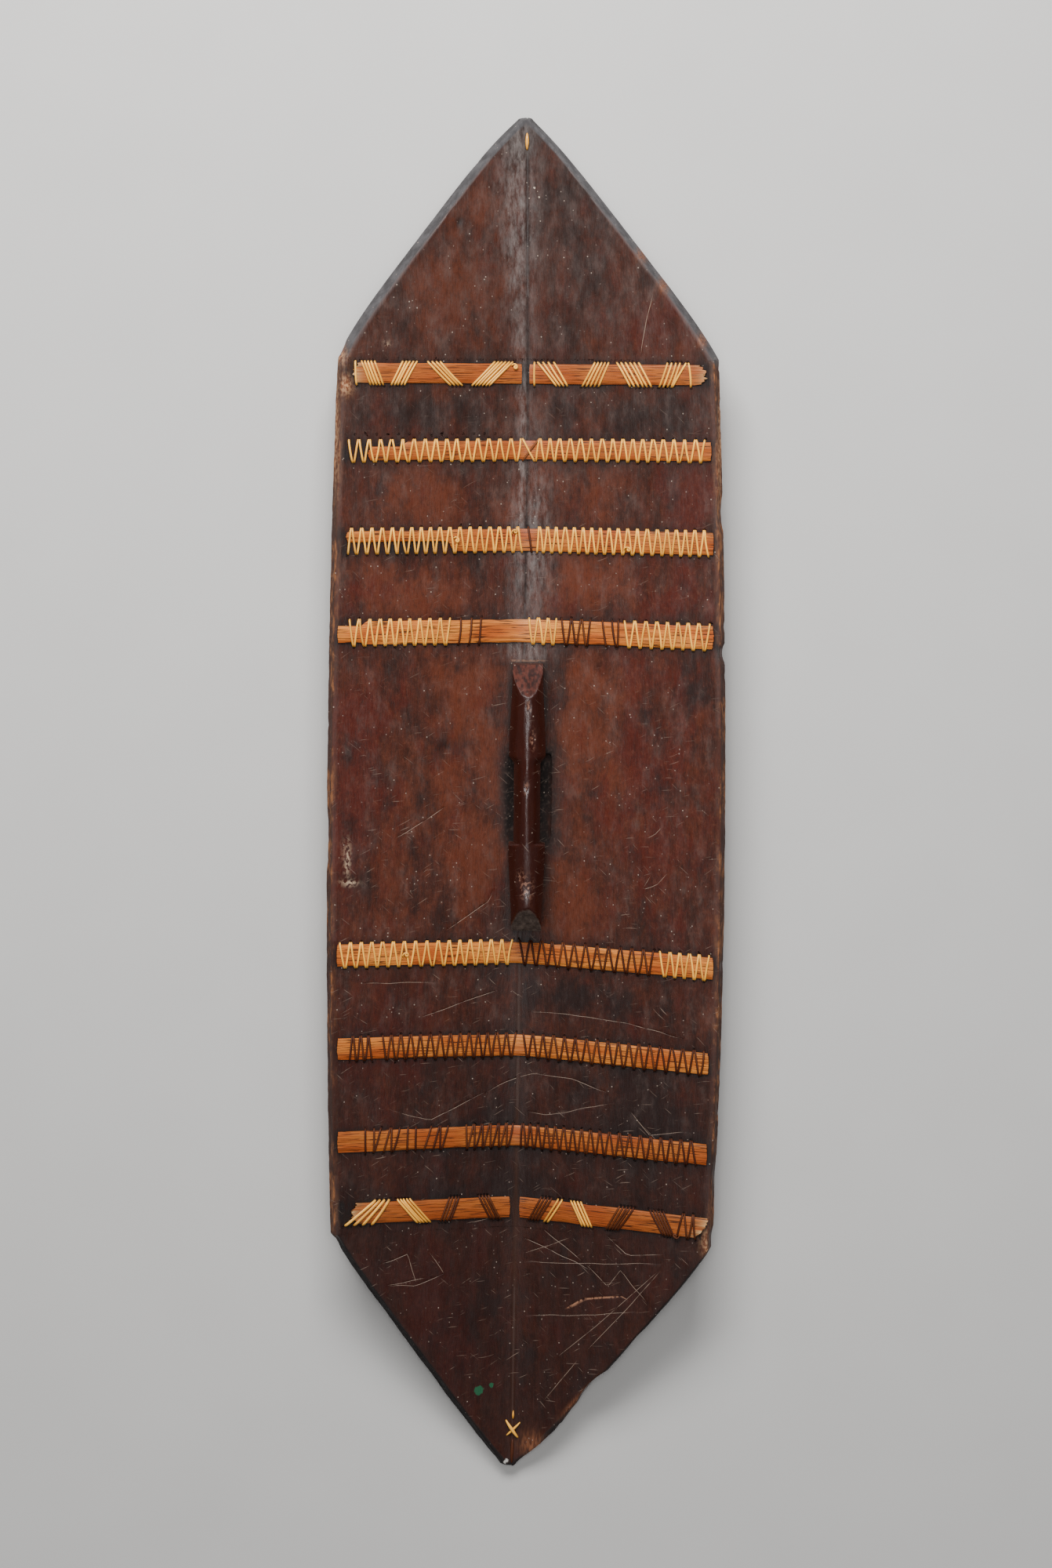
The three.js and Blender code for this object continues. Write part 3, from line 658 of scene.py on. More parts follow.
def groove(line, half, depth):
    """A V-shaped cutter along a line on the inner face, which rises clear of it at both ends."""
    x, y = line.T
    ahead = np.gradient(line, axis=0)
    ahead = ahead / np.linalg.norm(ahead, axis=1, keepdims=True)
    to_end = np.minimum(np.arange(len(x)), np.arange(len(x))[::-1]) / len(x)
    face = hewn_face(x, y)
    wide = half * (CUTTER_RISE + depth) / depth
    right = np.stack([x + wide * ahead[:, 1], y - wide * ahead[:, 0], face + CUTTER_RISE], axis=-1)
    left = np.stack([x - wide * ahead[:, 1], y + wide * ahead[:, 0], face + CUTTER_RISE], axis=-1)
    bottom = np.stack([x, y, face - depth * mix(-0.3, 1, np.minimum(1, 5 * to_end))], axis=-1)
    return loft(np.stack([right, left, bottom], axis=1))


fine_lines = [wandering(line, number) for number, line in enumerate(SCRATCHES)]
broad_line = wandering(BROAD_SCRATCH, 0)
grooves = [groove(line, SCRATCH_HALF, SCRATCH_DEPTH) for line in fine_lines]
grooves.append(groove(broad_line, BROAD_HALF, BROAD_DEPTH))
carve(board, [add_piece(f"knife_{i}", [cut]) for i, cut in enumerate(grooves)], "DIFFERENCE")
board.data.shade_smooth()
board.data.set_sharp_from_angle(angle=SMOOTH_ANGLE)

# Finish of the board: old hand-rubbed hardwood. Dark grime with painted shade lies along the rows and round
# the grip, a pale bloom with a painted sheen in the valley, painted shade in the crease and the finger
# hollow, bare worn wood shows on the rim, the top end slopes are dusty end grain and the bottom end slopes
# are painted near-black as shade.
# Broad patches of the inner face: x, y, half width and half length
RED_PATCHES = [
    (-152, 10, 34, 120),
    (112, 5, 45, 120),
    (130, 190, 35, 34),
    (112, 425, 30, 36),
    (-70, -470, 55, 75),
    (-135, -210, 40, 60),
    (142, 275, 26, 34),
]
BROWN_PATCHES = [
    (-55, 20, 42, 110),
    (-55, 460, 40, 70),
    (-95, 280, 50, 40),
    (-95, 190, 40, 30),
    (45, -95, 34, 40),
    (55, 40, 30, 80),
    (55, 225, 40, 60),
]
BLACK_PATCHES = [
    (42, 520, 26, 60),
    (88, 345, 60, 20),
    (152, 120, 22, 40),
    (-20, -300, 45, 40),
    (105, -265, 60, 70),
    (-30, -345, 70, 18),
    (60, -175, 60, 22),
    (-90, 350, 60, 18),
    (-4, 592, 32, 26),
]
# Bare pale wood on the upper sides and at two shoulders, and browner breaks on the end slopes
BARE_BREAKS = [(-167, 400, 6, 9), (167, -386, 6, 12), (-161, 374, 5, 8)]
BARE_BREAKS += [(-169, 335, 2.6, 48), (168, 330, 2.6, 52)]
BROWN_BREAKS = [(10, -587, 11, 10), (98, 489, 4, 6), (117, 462, 4, 7), (151, 415, 4, 6)]
BROKEN_SLOPE_Y = -538
BROKEN_SLOPE_HALF = 16
# Dark stains round the knots and the dent
KNOT_STAINS = [(-72, 53, 13, 10), (-63, 517, 4, 4.5), (-155, -63, 10, 8)]
# Pale bloom and painted sheen: a patch of dust over the grip's end, a painted sheen measured from the valley,
# and the band up to the top tip, part whitened wax and part painted sheen
GRIP_END_BLOOM = (GRIP_X, 138, 20, 9)
VALLEY_SHEEN = (4, 235, 18, 80)
SHEEN_MOST = 0.95
BLOOM_SHEEN_HALF = (6, 16)
BLOOM_SHEEN_WIDENS = (330, 560)
BLOOM_SHEEN_STARTS = (150, 230)
BLOOM_SHEEN_THIN_Y = 410
BLOOM_SHEEN_THIN_HALF = 60
BLOOM_SHEEN_THINNED = 0.35
BLOOM_SHEEN_STRENGTH = (1.15, 0.85)
BLOOM_SHEEN_WEAKENS = (330, 480)
# The painted shade along the crease: a dark line, which is wider between the two strips of the last row
CREASE_SHADE_HALF = (1.7, 3.2)
CREASE_SHADE_GAP_HALF = 12
CREASE_SHADE_ENDS = (570, 590)
TOP_END_Y = (380, 400)
BOTTOM_END_Y = (375, 395)
# Reach of the grime and painted shade along the rows and round the grip, and of the soot and painted shade in
# the finger hollow
ROW_GRIME_AND_SHADE = 5
GRIP_GRIME_AND_SHADE = 7
HOLLOW_DIRT_AND_SHADE = 6
GRIP_MIDDLE = (GRIP_TOP_END + GRIP_BOTTOM_END) / 2
GRIP_REACH = (GRIP_TOP_END - GRIP_BOTTOM_END) / 2
# Half width and half length of the room that the grip stands in
GRIP_ROOM = (20, 125)


def edge_distance(x, y):
    """Distance inwards from the front outline, on the long sides and on the end slopes."""
    side = np.where(x > valley_x(y), 1, -1)
    end = np.where(y > 0, 1, -1)
    tip_x, tip_y, run_x, run_y, out_x, out_y = end_edge(side, end)
    from_x, from_y = x - tip_x, y - tip_y
    away = np.clip((from_x * run_x + from_y * run_y) / (run_x**2 + run_y**2), 0, 1)
    slope_gap = end_bow(side, end, away) - (from_x * out_x + from_y * out_y)
    tip_gap = TIP_Y - np.abs(y)
    beside = np.clip(y, at_edge(side, -1, SHOULDER_Y), at_edge(side, 1, SHOULDER_Y))
    side_gap = side_half(side, beside) - np.abs(x)
    return side_gap, np.minimum(slope_gap, tip_gap + 3)


def line_mark(x, y, lines, half):
    """How deep in one of the grooves a place lies, as a share."""
    share = np.zeros(x.shape)
    for line in lines:
        for start, end in zip(line, line[1:]):
            run_x, run_y = end - start
            near = np.abs(x - (start[0] + end[0]) / 2) < np.abs(run_x) / 2 + 2
            near &= np.abs(y - (start[1] + end[1]) / 2) < np.abs(run_y) / 2 + 2
            from_x, from_y = x[near] - start[0], y[near] - start[1]
            along = np.clip((from_x * run_x + from_y * run_y) / (run_x**2 + run_y**2), 0, 1)
            gap = np.hypot(from_x - along * run_x, from_y - along * run_y)
            share[near] = np.maximum(share[near], np.clip(1.2 - 1.4 * gap / half, 0, 1))
    return share


def bell(value, middle, half):
    """1 at the middle, falling smoothly to 0 past the half width."""
    return np.exp(-(((value - middle) / half) ** 2))


def outside(x, y, left, right, bottom, top):
    """Distance outwards from a rectangle."""
    past_side = np.maximum(0, np.maximum(left - x, x - right))
    past_end = np.maximum(0, np.maximum(bottom - y, y - top))
    return np.hypot(past_side, past_end)


def keep_mark(piece, name, values):
    """Stores one number for each vertex, for the material to read."""
    kept = piece.data.attributes.new(name, "FLOAT", "POINT")
    kept.data.foreach_set("value", values.astype(np.float32))


points = np.zeros(len(board.data.vertices) * 3)
board.data.vertices.foreach_get("co", points)
x, y, z = points.reshape(-1, 3).T / MM
above = z - inner_z(x, y)
from_valley = x - valley_x(y)
side_gap, end_gap = edge_distance(x, y)
end_bevel = at_edge(np.sign(from_valley), np.sign(y), END_BEVEL)
on_bevel = np.clip(1 - np.minimum(side_gap, end_gap) / end_bevel, 0, 1)
on_front = ease(-above - WALL * on_bevel, 3, 6) * (z - front_z(x, y) < WALL / 2)
near_grip = (np.abs(x - GRIP_X) < GRIP_ROOM[0]) * (np.abs(y - GRIP_MIDDLE) < GRIP_ROOM[1])
on_grip = ease(above, 2, 5) * near_grip
off_grip = 1 - on_grip
grip_share = np.minimum(1, np.abs((x - GRIP_X) / grip_half(y)))
facet = on_grip * ease(grip_crown(grip_share) - z, 0.6, 1.3)
hollow_gap = outside(x, y, FINGER_LEFT, FINGER_RIGHT, FINGER_BOTTOM, FINGER_TOP)
grip_left, grip_right = GRIP_X - GRIP_FOOT_HALF, GRIP_X + GRIP_FOOT_HALF
grip_gap = outside(x, y, grip_left, grip_right, GRIP_BOTTOM_END, GRIP_TOP_END)
row_gap = np.min([np.abs(y - place - lean * x) - half for place, lean, half in ROWS.values()], axis=0)
# The pale band in the valley: part whitened wax, part a painted sheen
bloom_sheen_half = mix(*BLOOM_SHEEN_HALF, ease(y, *BLOOM_SHEEN_WIDENS))
bloom_and_sheen = bell(from_valley, -0.6 * bloom_sheen_half, bloom_sheen_half) * ease(y, *BLOOM_SHEEN_STARTS)
bloom_and_sheen = bloom_and_sheen * (1 - BLOOM_SHEEN_THINNED * bell(y, BLOOM_SHEEN_THIN_Y, BLOOM_SHEEN_THIN_HALF))
bloom_and_sheen = bloom_and_sheen * mix(*BLOOM_SHEEN_STRENGTH, ease(y, *BLOOM_SHEEN_WEAKENS))
bloom_and_sheen = np.maximum(bloom_and_sheen, scar(x, y, [GRIP_END_BLOOM]))
bloom_and_sheen = np.maximum(bloom_and_sheen, SHEEN_MOST * scar(from_valley, y, [VALLEY_SHEEN]))
# Painted shade along the valley's crease, wider between the strips of the last row
crease = bell(from_valley, 0, mix(*CREASE_SHADE_HALF, bell(y, ROWS[8][0], CREASE_SHADE_GAP_HALF)))
crease = crease * ease(np.abs(y - GRIP_MIDDLE), GRIP_REACH + 1, GRIP_REACH + 11)
crease = crease * (1 - ease(np.abs(y), *CREASE_SHADE_ENDS))
blunt_tip = bell(from_valley, 0, 5) * ease(np.abs(y), TIP_Y - 9, TIP_Y - 6)
end_rim = np.maximum(ease(-end_gap, -end_bevel - 1.5, -end_bevel), blunt_tip)
broken_slope = ease(-end_gap, -9, -4) * bell(y, BROKEN_SLOPE_Y, BROKEN_SLOPE_HALF) * (x > 0)
sunk = ease(hewn_relief(x, y) - above, 0.03, 0.12)
# Marks for the material. The grime along the rows and round the grip, the dirt in the finger hollow, the
# crease line and the bottom end slopes carry painted shade, and the valley bloom carries a painted sheen.
inner_marks = {
    "side_wear": ease(-side_gap, -SIDE_BEVEL - 2, -SIDE_BEVEL),
    "end_dust": end_rim * ease(y, *TOP_END_Y),
    "end_char": end_rim * ease(-y, *BOTTOM_END_Y),
    "bare_break": scar(x, y, BARE_BREAKS),
    "brown_break": np.maximum(broken_slope, scar(x, y, BROWN_BREAKS)),
    "row_grime": np.exp(-np.maximum(0, row_gap) / ROW_GRIME_AND_SHADE) * off_grip,
    "grip_grime": np.exp(-grip_gap / GRIP_GRIME_AND_SHADE) * off_grip,
    "valley_bloom": bloom_and_sheen * off_grip,
    "crease_line": crease,
    "hollow_dirt": np.exp(-((hollow_gap / HOLLOW_DIRT_AND_SHADE) ** 1.3)) * (above < 4),
    "scratch": line_mark(x, y, fine_lines, SCRATCH_HALF) * sunk,
    "broad_scratch": line_mark(x, y, [broad_line], BROAD_HALF) * sunk,
    "pale_scar": scar(x, y, [GOUGE, DENT, PALE_SPOT]),
    "knot_stain": scar(x, y, KNOT_STAINS),
}
for name, share in inner_marks.items():
    keep_mark(board, name, share * (1 - on_front))
wood_marks = {
    "red_patch": scar(x, y, RED_PATCHES),
    "brown_patch": scar(x, y, BROWN_PATCHES),
    "black_patch": scar(x, y, BLACK_PATCHES),
    "hand_polish": on_grip * (1 - facet),
    "top_facet": facet * (y > GRIP_TOP_END - 40),
    "bottom_facet": facet * (y < GRIP_BOTTOM_END + 30),
    "grip_chips": on_grip * scar(x, y, GRIP_CHIPS),
    "front_face": on_front,
}
for name, share in wood_marks.items():
    keep_mark(board, name, share)


def paint(code):
    """An sRGB hex colour as the linear values that shaders take."""
    channels = [int(code[i : i + 2], 16) / 255 for i in (1, 3, 5)]
    return (*[c / 12.92 if c <= 0.04045 else ((c + 0.055) / 1.055) ** 2.4 for c in channels], 1)


def add(tree, kind, links, **settings):
    """Adds a node with its settings. Each link gives an input a value, a hex colour or a node's output."""
    made = tree.nodes.new("ShaderNode" + kind)
    for name, value in settings.items():
        setattr(made, name, value)
    for socket, value in links.items():
        if isinstance(value, bpy.types.NodeSocket):
            tree.links.new(value, made.inputs[socket])
        else:
            made.inputs[socket].default_value = paint(value) if isinstance(value, str) else value
    return made.outputs


def start_material(name):
    """A new material, its nodes and its shader."""
    material = bpy.data.materials.new(name)
    material.use_nodes = True
    return material, material.node_tree, material.node_tree.nodes["Principled BSDF"]


def place_in_mm(tree):
    """The place on the object in millimetres."""
    here = add(tree, "TexCoord", {})["Object"]
    return add(tree, "VectorMath", {0: here, "Scale": 1 / MM}, operation="SCALE")["Vector"]


def streaks(tree, place, across, along, detail, shift, ragged=0.5):
    """Random streaks of that width and length in millimetres, running along the board."""
    sized = {0: place, 1: (1 / across, 1 / along, 1 / across), 2: (shift, shift, 0)}
    vector = add(tree, "VectorMath", sized, operation="MULTIPLY_ADD")[0]
    return add(tree, "TexNoise", {"Vector": vector, "Scale": 1, "Detail": detail, "Roughness": ragged})["Fac"]


def amount(tree, *parts):
    """How much of a finish shows, as the product of its parts. A part is a number, the name of a mark,
    a node's output, or a pattern with the two values between which it comes in and its most."""
    product = None
    for part in parts:
        if isinstance(part, str):
            part = add(tree, "Attribute", {}, attribute_name=part)["Fac"]
        if isinstance(part, tuple):
            pattern, low, high, most = part
            reach = {"Value": pattern, "From Min": low, "From Max": high, "To Max": most}
            part = add(tree, "MapRange", reach, interpolation_type="SMOOTHSTEP")["Result"]
        if product is not None:
            part = add(tree, "Math", {0: product, 1: part}, operation="MULTIPLY")[0]
        product = part
    return product


def lay(tree, under, over, *parts):
    """One colour laid over another, as much of it as the parts say."""
    return add(tree, "Mix", {0: amount(tree, *parts), 6: under, 7: over}, data_type="RGBA")[2]


def coats(tree, colour, layers):
    """Colours laid one over another, each followed by the parts that say how much of it shows."""
    for over, *parts in layers:
        colour = lay(tree, colour, over, *parts)
    return colour


def drawn_to(tree, pattern, name, pull):
    """A pattern that is stronger where a mark lies."""
    return add(tree, "Math", {0: amount(tree, name), 1: pull, 2: pattern}, operation="MULTIPLY_ADD")[0]


HAIRLINE_WIDTH = 1.3
HAIRLINE_LENGTH = 24


def hairlines(tree, place, degrees, shift):
    """Fine, short scratches in one direction, drawn 0.5 mm wide, wider than they are, so that they show."""
    slant = {"Vector": place, "Angle": math.radians(degrees)}
    turned = add(tree, "VectorRotate", slant, rotation_type="Z_AXIS")[0]
    lines = streaks(tree, turned, HAIRLINE_WIDTH, HAIRLINE_LENGTH, 1, shift)
    return amount(tree, (lines, 0.71, 0.77, 1))


# Hand-rubbed ironwood-like hardwood: close grain under years of smoke and hands, so a satin red-brown with
# near-black patina, dry pale scratches, and a tighter, darker gloss on the grip.
SPECK_SPACING = 6
WAVER_LENGTH = 40
WAVER_WIDTH = 9
# Drops of green and pale paint: place, half width and colour
PAINT_DROPS = [
    ((-39, -536, 0), 4.2, "#1f5a3c"),
    ((-28, -532, 0), 2, "#1f5a3c"),
    ((4, 548, 0), 0.4, "#d8c8b4"),
    ((8, 540, 0), 0.4, "#c8b8a4"),
    ((-14, -604, 0), 1.8, "#c9c4bd"),
]
wood, tree, shader = start_material("hand_rubbed_hardwood")
place = place_in_mm(tree)
flat_place = add(tree, "VectorMath", {0: place, 1: (1, 1, 0)}, operation="MULTIPLY")[0]
axes = add(tree, "SeparateXYZ", {0: place})
x_place, y_place = axes["X"], axes["Y"]
waver = add(tree, "TexNoise", {"Vector": place, "Scale": 1 / WAVER_LENGTH, "Detail": 1})["Color"]
wavering = {0: waver, 1: (WAVER_WIDTH, WAVER_WIDTH, 0), 2: place}
bent = add(tree, "VectorMath", wavering, operation="MULTIPLY_ADD")[0]
flat_bent = add(tree, "VectorMath", {0: bent, 1: (1, 1, 0)}, operation="MULTIPLY")[0]
grain = streaks(tree, bent, 7, 36, 6, 0, 0.68)
pores = streaks(tree, bent, 1.4, 8, 3, 7.3)
mottle = streaks(tree, bent, 3.6, 5.5, 6, 13.3, 0.76)
patina = streaks(tree, place, 30, 54, 8, 3.1, 0.7)
haze = streaks(tree, place, 11, 24, 6, 9.2, 0.7)
grit = streaks(tree, place, 2.6, 3.4, 2, 5.9)
splinters = streaks(tree, place, 3, 12, 4, 2.2)
bloom_and_sheen_streaks = streaks(tree, place, 5, 17, 7, 0, 0.78)
scratch_gaps = streaks(tree, place, 9, 9, 2, 1.7)
warm = drawn_to(tree, streaks(tree, place, 36, 58, 7, 11.7, 0.68), "brown_patch", 0.26)
red = drawn_to(tree, streaks(tree, place, 26, 52, 7, 17.9, 0.68), "red_patch", 0.2)
film = drawn_to(tree, patina, "black_patch", 0.2)
cell = add(tree, "VectorMath", {0: place, "Scale": 1 / SPECK_SPACING}, operation="SCALE")[0]
speck_gap = add(tree, "TexVoronoi", {"Vector": cell, "Scale": 1})["Distance"]
scuffs = hairlines(tree, flat_bent, 62, 0.4)
for degrees, shift in [(-48, 5.2), (84, 8.8)]:
    more = hairlines(tree, flat_bent, degrees, shift)
    scuffs = add(tree, "Math", {0: more, 1: scuffs}, operation="MAXIMUM")[0]
# A pale line on the board along the top end of the grip
over_end = add(tree, "Math", {0: y_place, 1: GRIP_TOP_END + 1.6, 2: 0.9}, operation="COMPARE")[0]
beside_end = add(tree, "Math", {0: x_place, 1: GRIP_X, 2: GRIP_END_HALF + 2}, operation="COMPARE")[0]
paint_coats = []
for drop, size, tint in PAINT_DROPS:
    drop_gap = add(tree, "VectorMath", {0: flat_place, 1: drop}, operation="DISTANCE")["Value"]
    ragged = add(tree, "Math", {0: grit, 1: 5, 2: drop_gap}, operation="MULTIPLY_ADD")[0]
    paint_coats.append((tint, (ragged, size + 3.2, size + 1.8, 0.85)))
# Painted shade for the crease, darkest towards the bottom
crease = lay(tree, "#150e0c", "#3d271e", (y_place, -100, -200, 1))
facet_wood = lay(tree, "#200b08", "#52271d", (splinters, 0.35, 0.65, 1))
end_grain = lay(tree, "#2f2520", "#5a4d44", (mottle, 0.3, 0.7, 1))
# Soot and painted shade for the finger hollow under the grip
soot_and_shade = lay(tree, "#120c0a", "#4a3e37", (grit, 0.5, 0.75, 0.6))
worn_wood = lay(tree, "#4d2817", "#9c6339", (splinters, 0.4, 0.65, 1))
dust = lay(tree, "#343233", "#504e4f", (haze, 0.35, 0.65, 1))
brown_wood = lay(tree, "#55301e", "#855336", (pores, 0.35, 0.65, 1))
bare_wood = lay(tree, "#7a4526", "#b98a63", (grit, 0.4, 0.6, 1))
# The wood itself, from its grain to the dark film over it
grain_coats = [
    ("#5d2c19", (warm, 0.5, 0.72, 0.75)),
    ("#4a170d", (red, 0.5, 0.72, 0.75)),
    ("#1c100d", (pores, 0.52, 0.72, 0.32)),
    ("#20110d", (mottle, 0.5, 0.7, 0.4)),
    ("#6b3d2c", (mottle, 0.5, 0.3, 0.35)),
    ("#1b1311", (film, 0.47, 0.72, 0.8)),
]
# Darker towards the bottom as painted shade where the light falls off, and darker towards the top; grey haze,
# towards the top partly a painted sheen; grime with painted shade along the rows and round the grip; the
# valley's bloom with a painted sheen, and painted shade in the crease
shade_sheen_and_dirt_coats = [
    # Painted shade: darker towards the bottom, where the light falls off
    ("#1d0e0b", (y_place, 0, -430, 0.58)),
    # Darker towards the top
    ("#1d130f", (y_place, 180, 420, 0.3)),
    ("#6a5850", (haze, 0.5, 0.75, 1), (y_place, -500, -150, 0.22)),
    # Grey haze towards the top, partly a painted sheen
    ("#463832", (y_place, 200, 450, 0.2), (haze, 0.3, 0.65, 1)),
    # Dark grime along the rows, with painted shade beside the strips
    ("#120d0c", "row_grime", (haze, 0.2, 0.6, 0.9)),
    # Dark grime round the grip, with painted shade where its foot meets the board
    ("#1c1412", "grip_grime", (haze, 0.25, 0.6, 0.8)),
    # A pale bloom in the valley, part whitened wax and part a painted sheen
    ("#8a827e", "valley_bloom", (bloom_and_sheen_streaks, 0.36, 0.72, 0.55)),
    # Painted shade in the crease
    (crease, "crease_line", 0.7),
]
# The grip with its end facets and chips, the hollow under it with soot and painted shade, and the worn, dusty
# and broken rim, with painted shade on the bottom end slopes
worn_and_shaded_coats = [
    ("#2b100b", "hand_polish", 0.85),
    (facet_wood, "top_facet", 0.85),
    (end_grain, "bottom_facet", 0.9),
    ("#8d6552", "grip_chips", (grit, 0.5, 0.62, 0.85)),
    # Soot and painted shade in the finger hollow
    (soot_and_shade, "hollow_dirt", (haze, 0.05, 0.6, 0.9)),
    ("#3c2015", "side_wear", 0.7),
    (worn_wood, "side_wear", (patina, 0.44, 0.56, 0.9), (haze, 0.35, 0.5, 1)),
    (dust, "end_dust", 0.95),
    # Painted shade: the bottom end slopes near-black, as they lie turned from the light
    ("#0e0b0a", "end_char", 0.9),
    (brown_wood, "brown_break", (splinters, 0.2, 0.55, 0.95)),
    (bare_wood, "bare_break", (splinters, 0.3, 0.5, 0.95)),
]
# Pale line over the grip's top end, knots, bare scars, specks of dust and scuffs
scar_coats = [
    ("#7d5c49", over_end, beside_end, (grit, 0.35, 0.55, 0.6)),
    ("#17110f", "knot_stain", (haze, 0.3, 0.6, 0.85)),
    ("#b59a80", "pale_scar", (grit, 0.42, 0.56, 1)),
    ("#ab9a8c", (speck_gap, 0.13, 0.05, 1), (haze, 0.45, 0.6, 0.75)),
    ("#927d6e", scuffs, (y_place, 620, -150, 1), (patina, 0.4, 0.58, 0.45)),
]
scratch_coats = [
    ("#a08c7c", "scratch", (scratch_gaps, 0.25, 0.5, 0.9)),
    ("#a5765a", "broad_scratch", (grit, 0.35, 0.5, 0.85)),
]
plain_wood = coats(tree, lay(tree, "#33180f", "#451f13", (grain, 0.35, 0.65, 1)), grain_coats)
colour = coats(tree, plain_wood, shade_sheen_and_dirt_coats + worn_and_shaded_coats + scar_coats + paint_coats + scratch_coats)
colour = lay(tree, colour, plain_wood, "front_face")
tree.links.new(colour, shader.inputs["Base Color"])
# Satin wood, glossy where hands have rubbed it and dull on dusty, worn and sooty places and on those painted
# as shade
WOOD_ROUGHNESS = 0.36
HAND_GLOSS = -0.24
DRY_ROUGHNESS = 0.4
dry = amount(tree, "end_dust")
for name in ("side_wear", "hollow_dirt", "bottom_facet", "end_char", "top_facet"):
    dry = add(tree, "Math", {0: dry, 1: amount(tree, name)}, operation="MAXIMUM")[0]
rough = drawn_to(tree, amount(tree, (haze, 0.3, 0.7, 0.2)), "hand_polish", HAND_GLOSS)
rough = add(tree, "Math", {0: dry, 1: DRY_ROUGHNESS, 2: rough}, operation="MULTIPLY_ADD")[0]
rough = add(tree, "Math", {0: rough, 1: WOOD_ROUGHNESS}, operation="ADD", use_clamp=True)[0]
tree.links.new(rough, shader.inputs["Roughness"])
raised = add(tree, "Math", {0: pores, 1: -0.6, 2: grain}, operation="MULTIPLY_ADD")[0]
raised = add(tree, "Math", {0: haze, 1: 0.5, 2: raised}, operation="MULTIPLY_ADD")[0]
normal = add(tree, "Bump", {"Height": raised, "Strength": 0.35, "Distance": 0.8 * MM})["Normal"]
tree.links.new(normal, shader.inputs["Normal"])
shader.inputs["Specular IOR Level"].default_value = 0.35
board.data.materials.clear()
board.data.materials.append(wood)
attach(board, "root")
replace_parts(board, "board")

# The rattan strips: split canes laid across the board with their inner side down, held by the lacing alone.
# Each has a low crown, fine fibres along its length, and ends that are torn or splintered.
STRIP_REST = 0.3
STRIP_CROWN = 2.3
STRIP_STEP = 2.5
STRIP_COLUMNS = 21
UNDER_STEP = STRIP_COLUMNS // 4
LONG_SPLINTERS = 5
# Name, row, ends, splintered length at each end, how much shorter the lower corner of the right end is,
# and how far it is torn from the left to a part of its width
STRIPS = [
    ("strip_1_left", 1, -155, -6.3, 7, 0.6, 0, None),
    ("strip_1_right", 1, 0, 158, 0.6, 15, 0, None),
    ("strip_2", 2, -141, 160, 3, 1.2, 0, (-108, -1, 0.45)),
    ("strip_3", 3, -160, 163, 3, 1.2, 0, (-68, -0.1, 0.9)),
    ("strip_4", 4, -167, 164, 1.5, 2, 0, (-143, -0.85, 0.6)),
    ("strip_5", 5, -167, 167, 1.2, 1.2, 0, None),
    ("strip_6", 6, -166.5, 164, 1.5, 1.5, 0, None),
    ("strip_7", 7, -166, 163.5, 1.2, 1.2, 0, None),
    ("strip_8_left", 8, -155, -11.5, 9, 1.5, 0, None),
    ("strip_8_right", 8, -3.7, 169, 1, 6, 13, None),
]
# How far each row's strip is drawn browner and darker
BROWNED = {1: 0.8, 2: 0.7, 3: 0.6, 4: 0.15, 5: 0.15, 6: 0.25, 7: 0.65, 8: 0.85}


def strip_height(share):
    """Height of a strip's upper side over the board, at a share of its half width."""
    return STRIP_REST + (STRIP_CROWN - STRIP_REST) * (1 - 0.55 * np.clip(np.abs(share), 0, 1) ** 4)


def keep_place(piece, places):
    """Stores for each vertex its place along, across and among the strips or strands, for the material."""
    kept = piece.data.attributes.new("strip_place", "FLOAT_VECTOR", "POINT")
    kept.data.foreach_set("vector", places.reshape(-1).astype(np.float32))


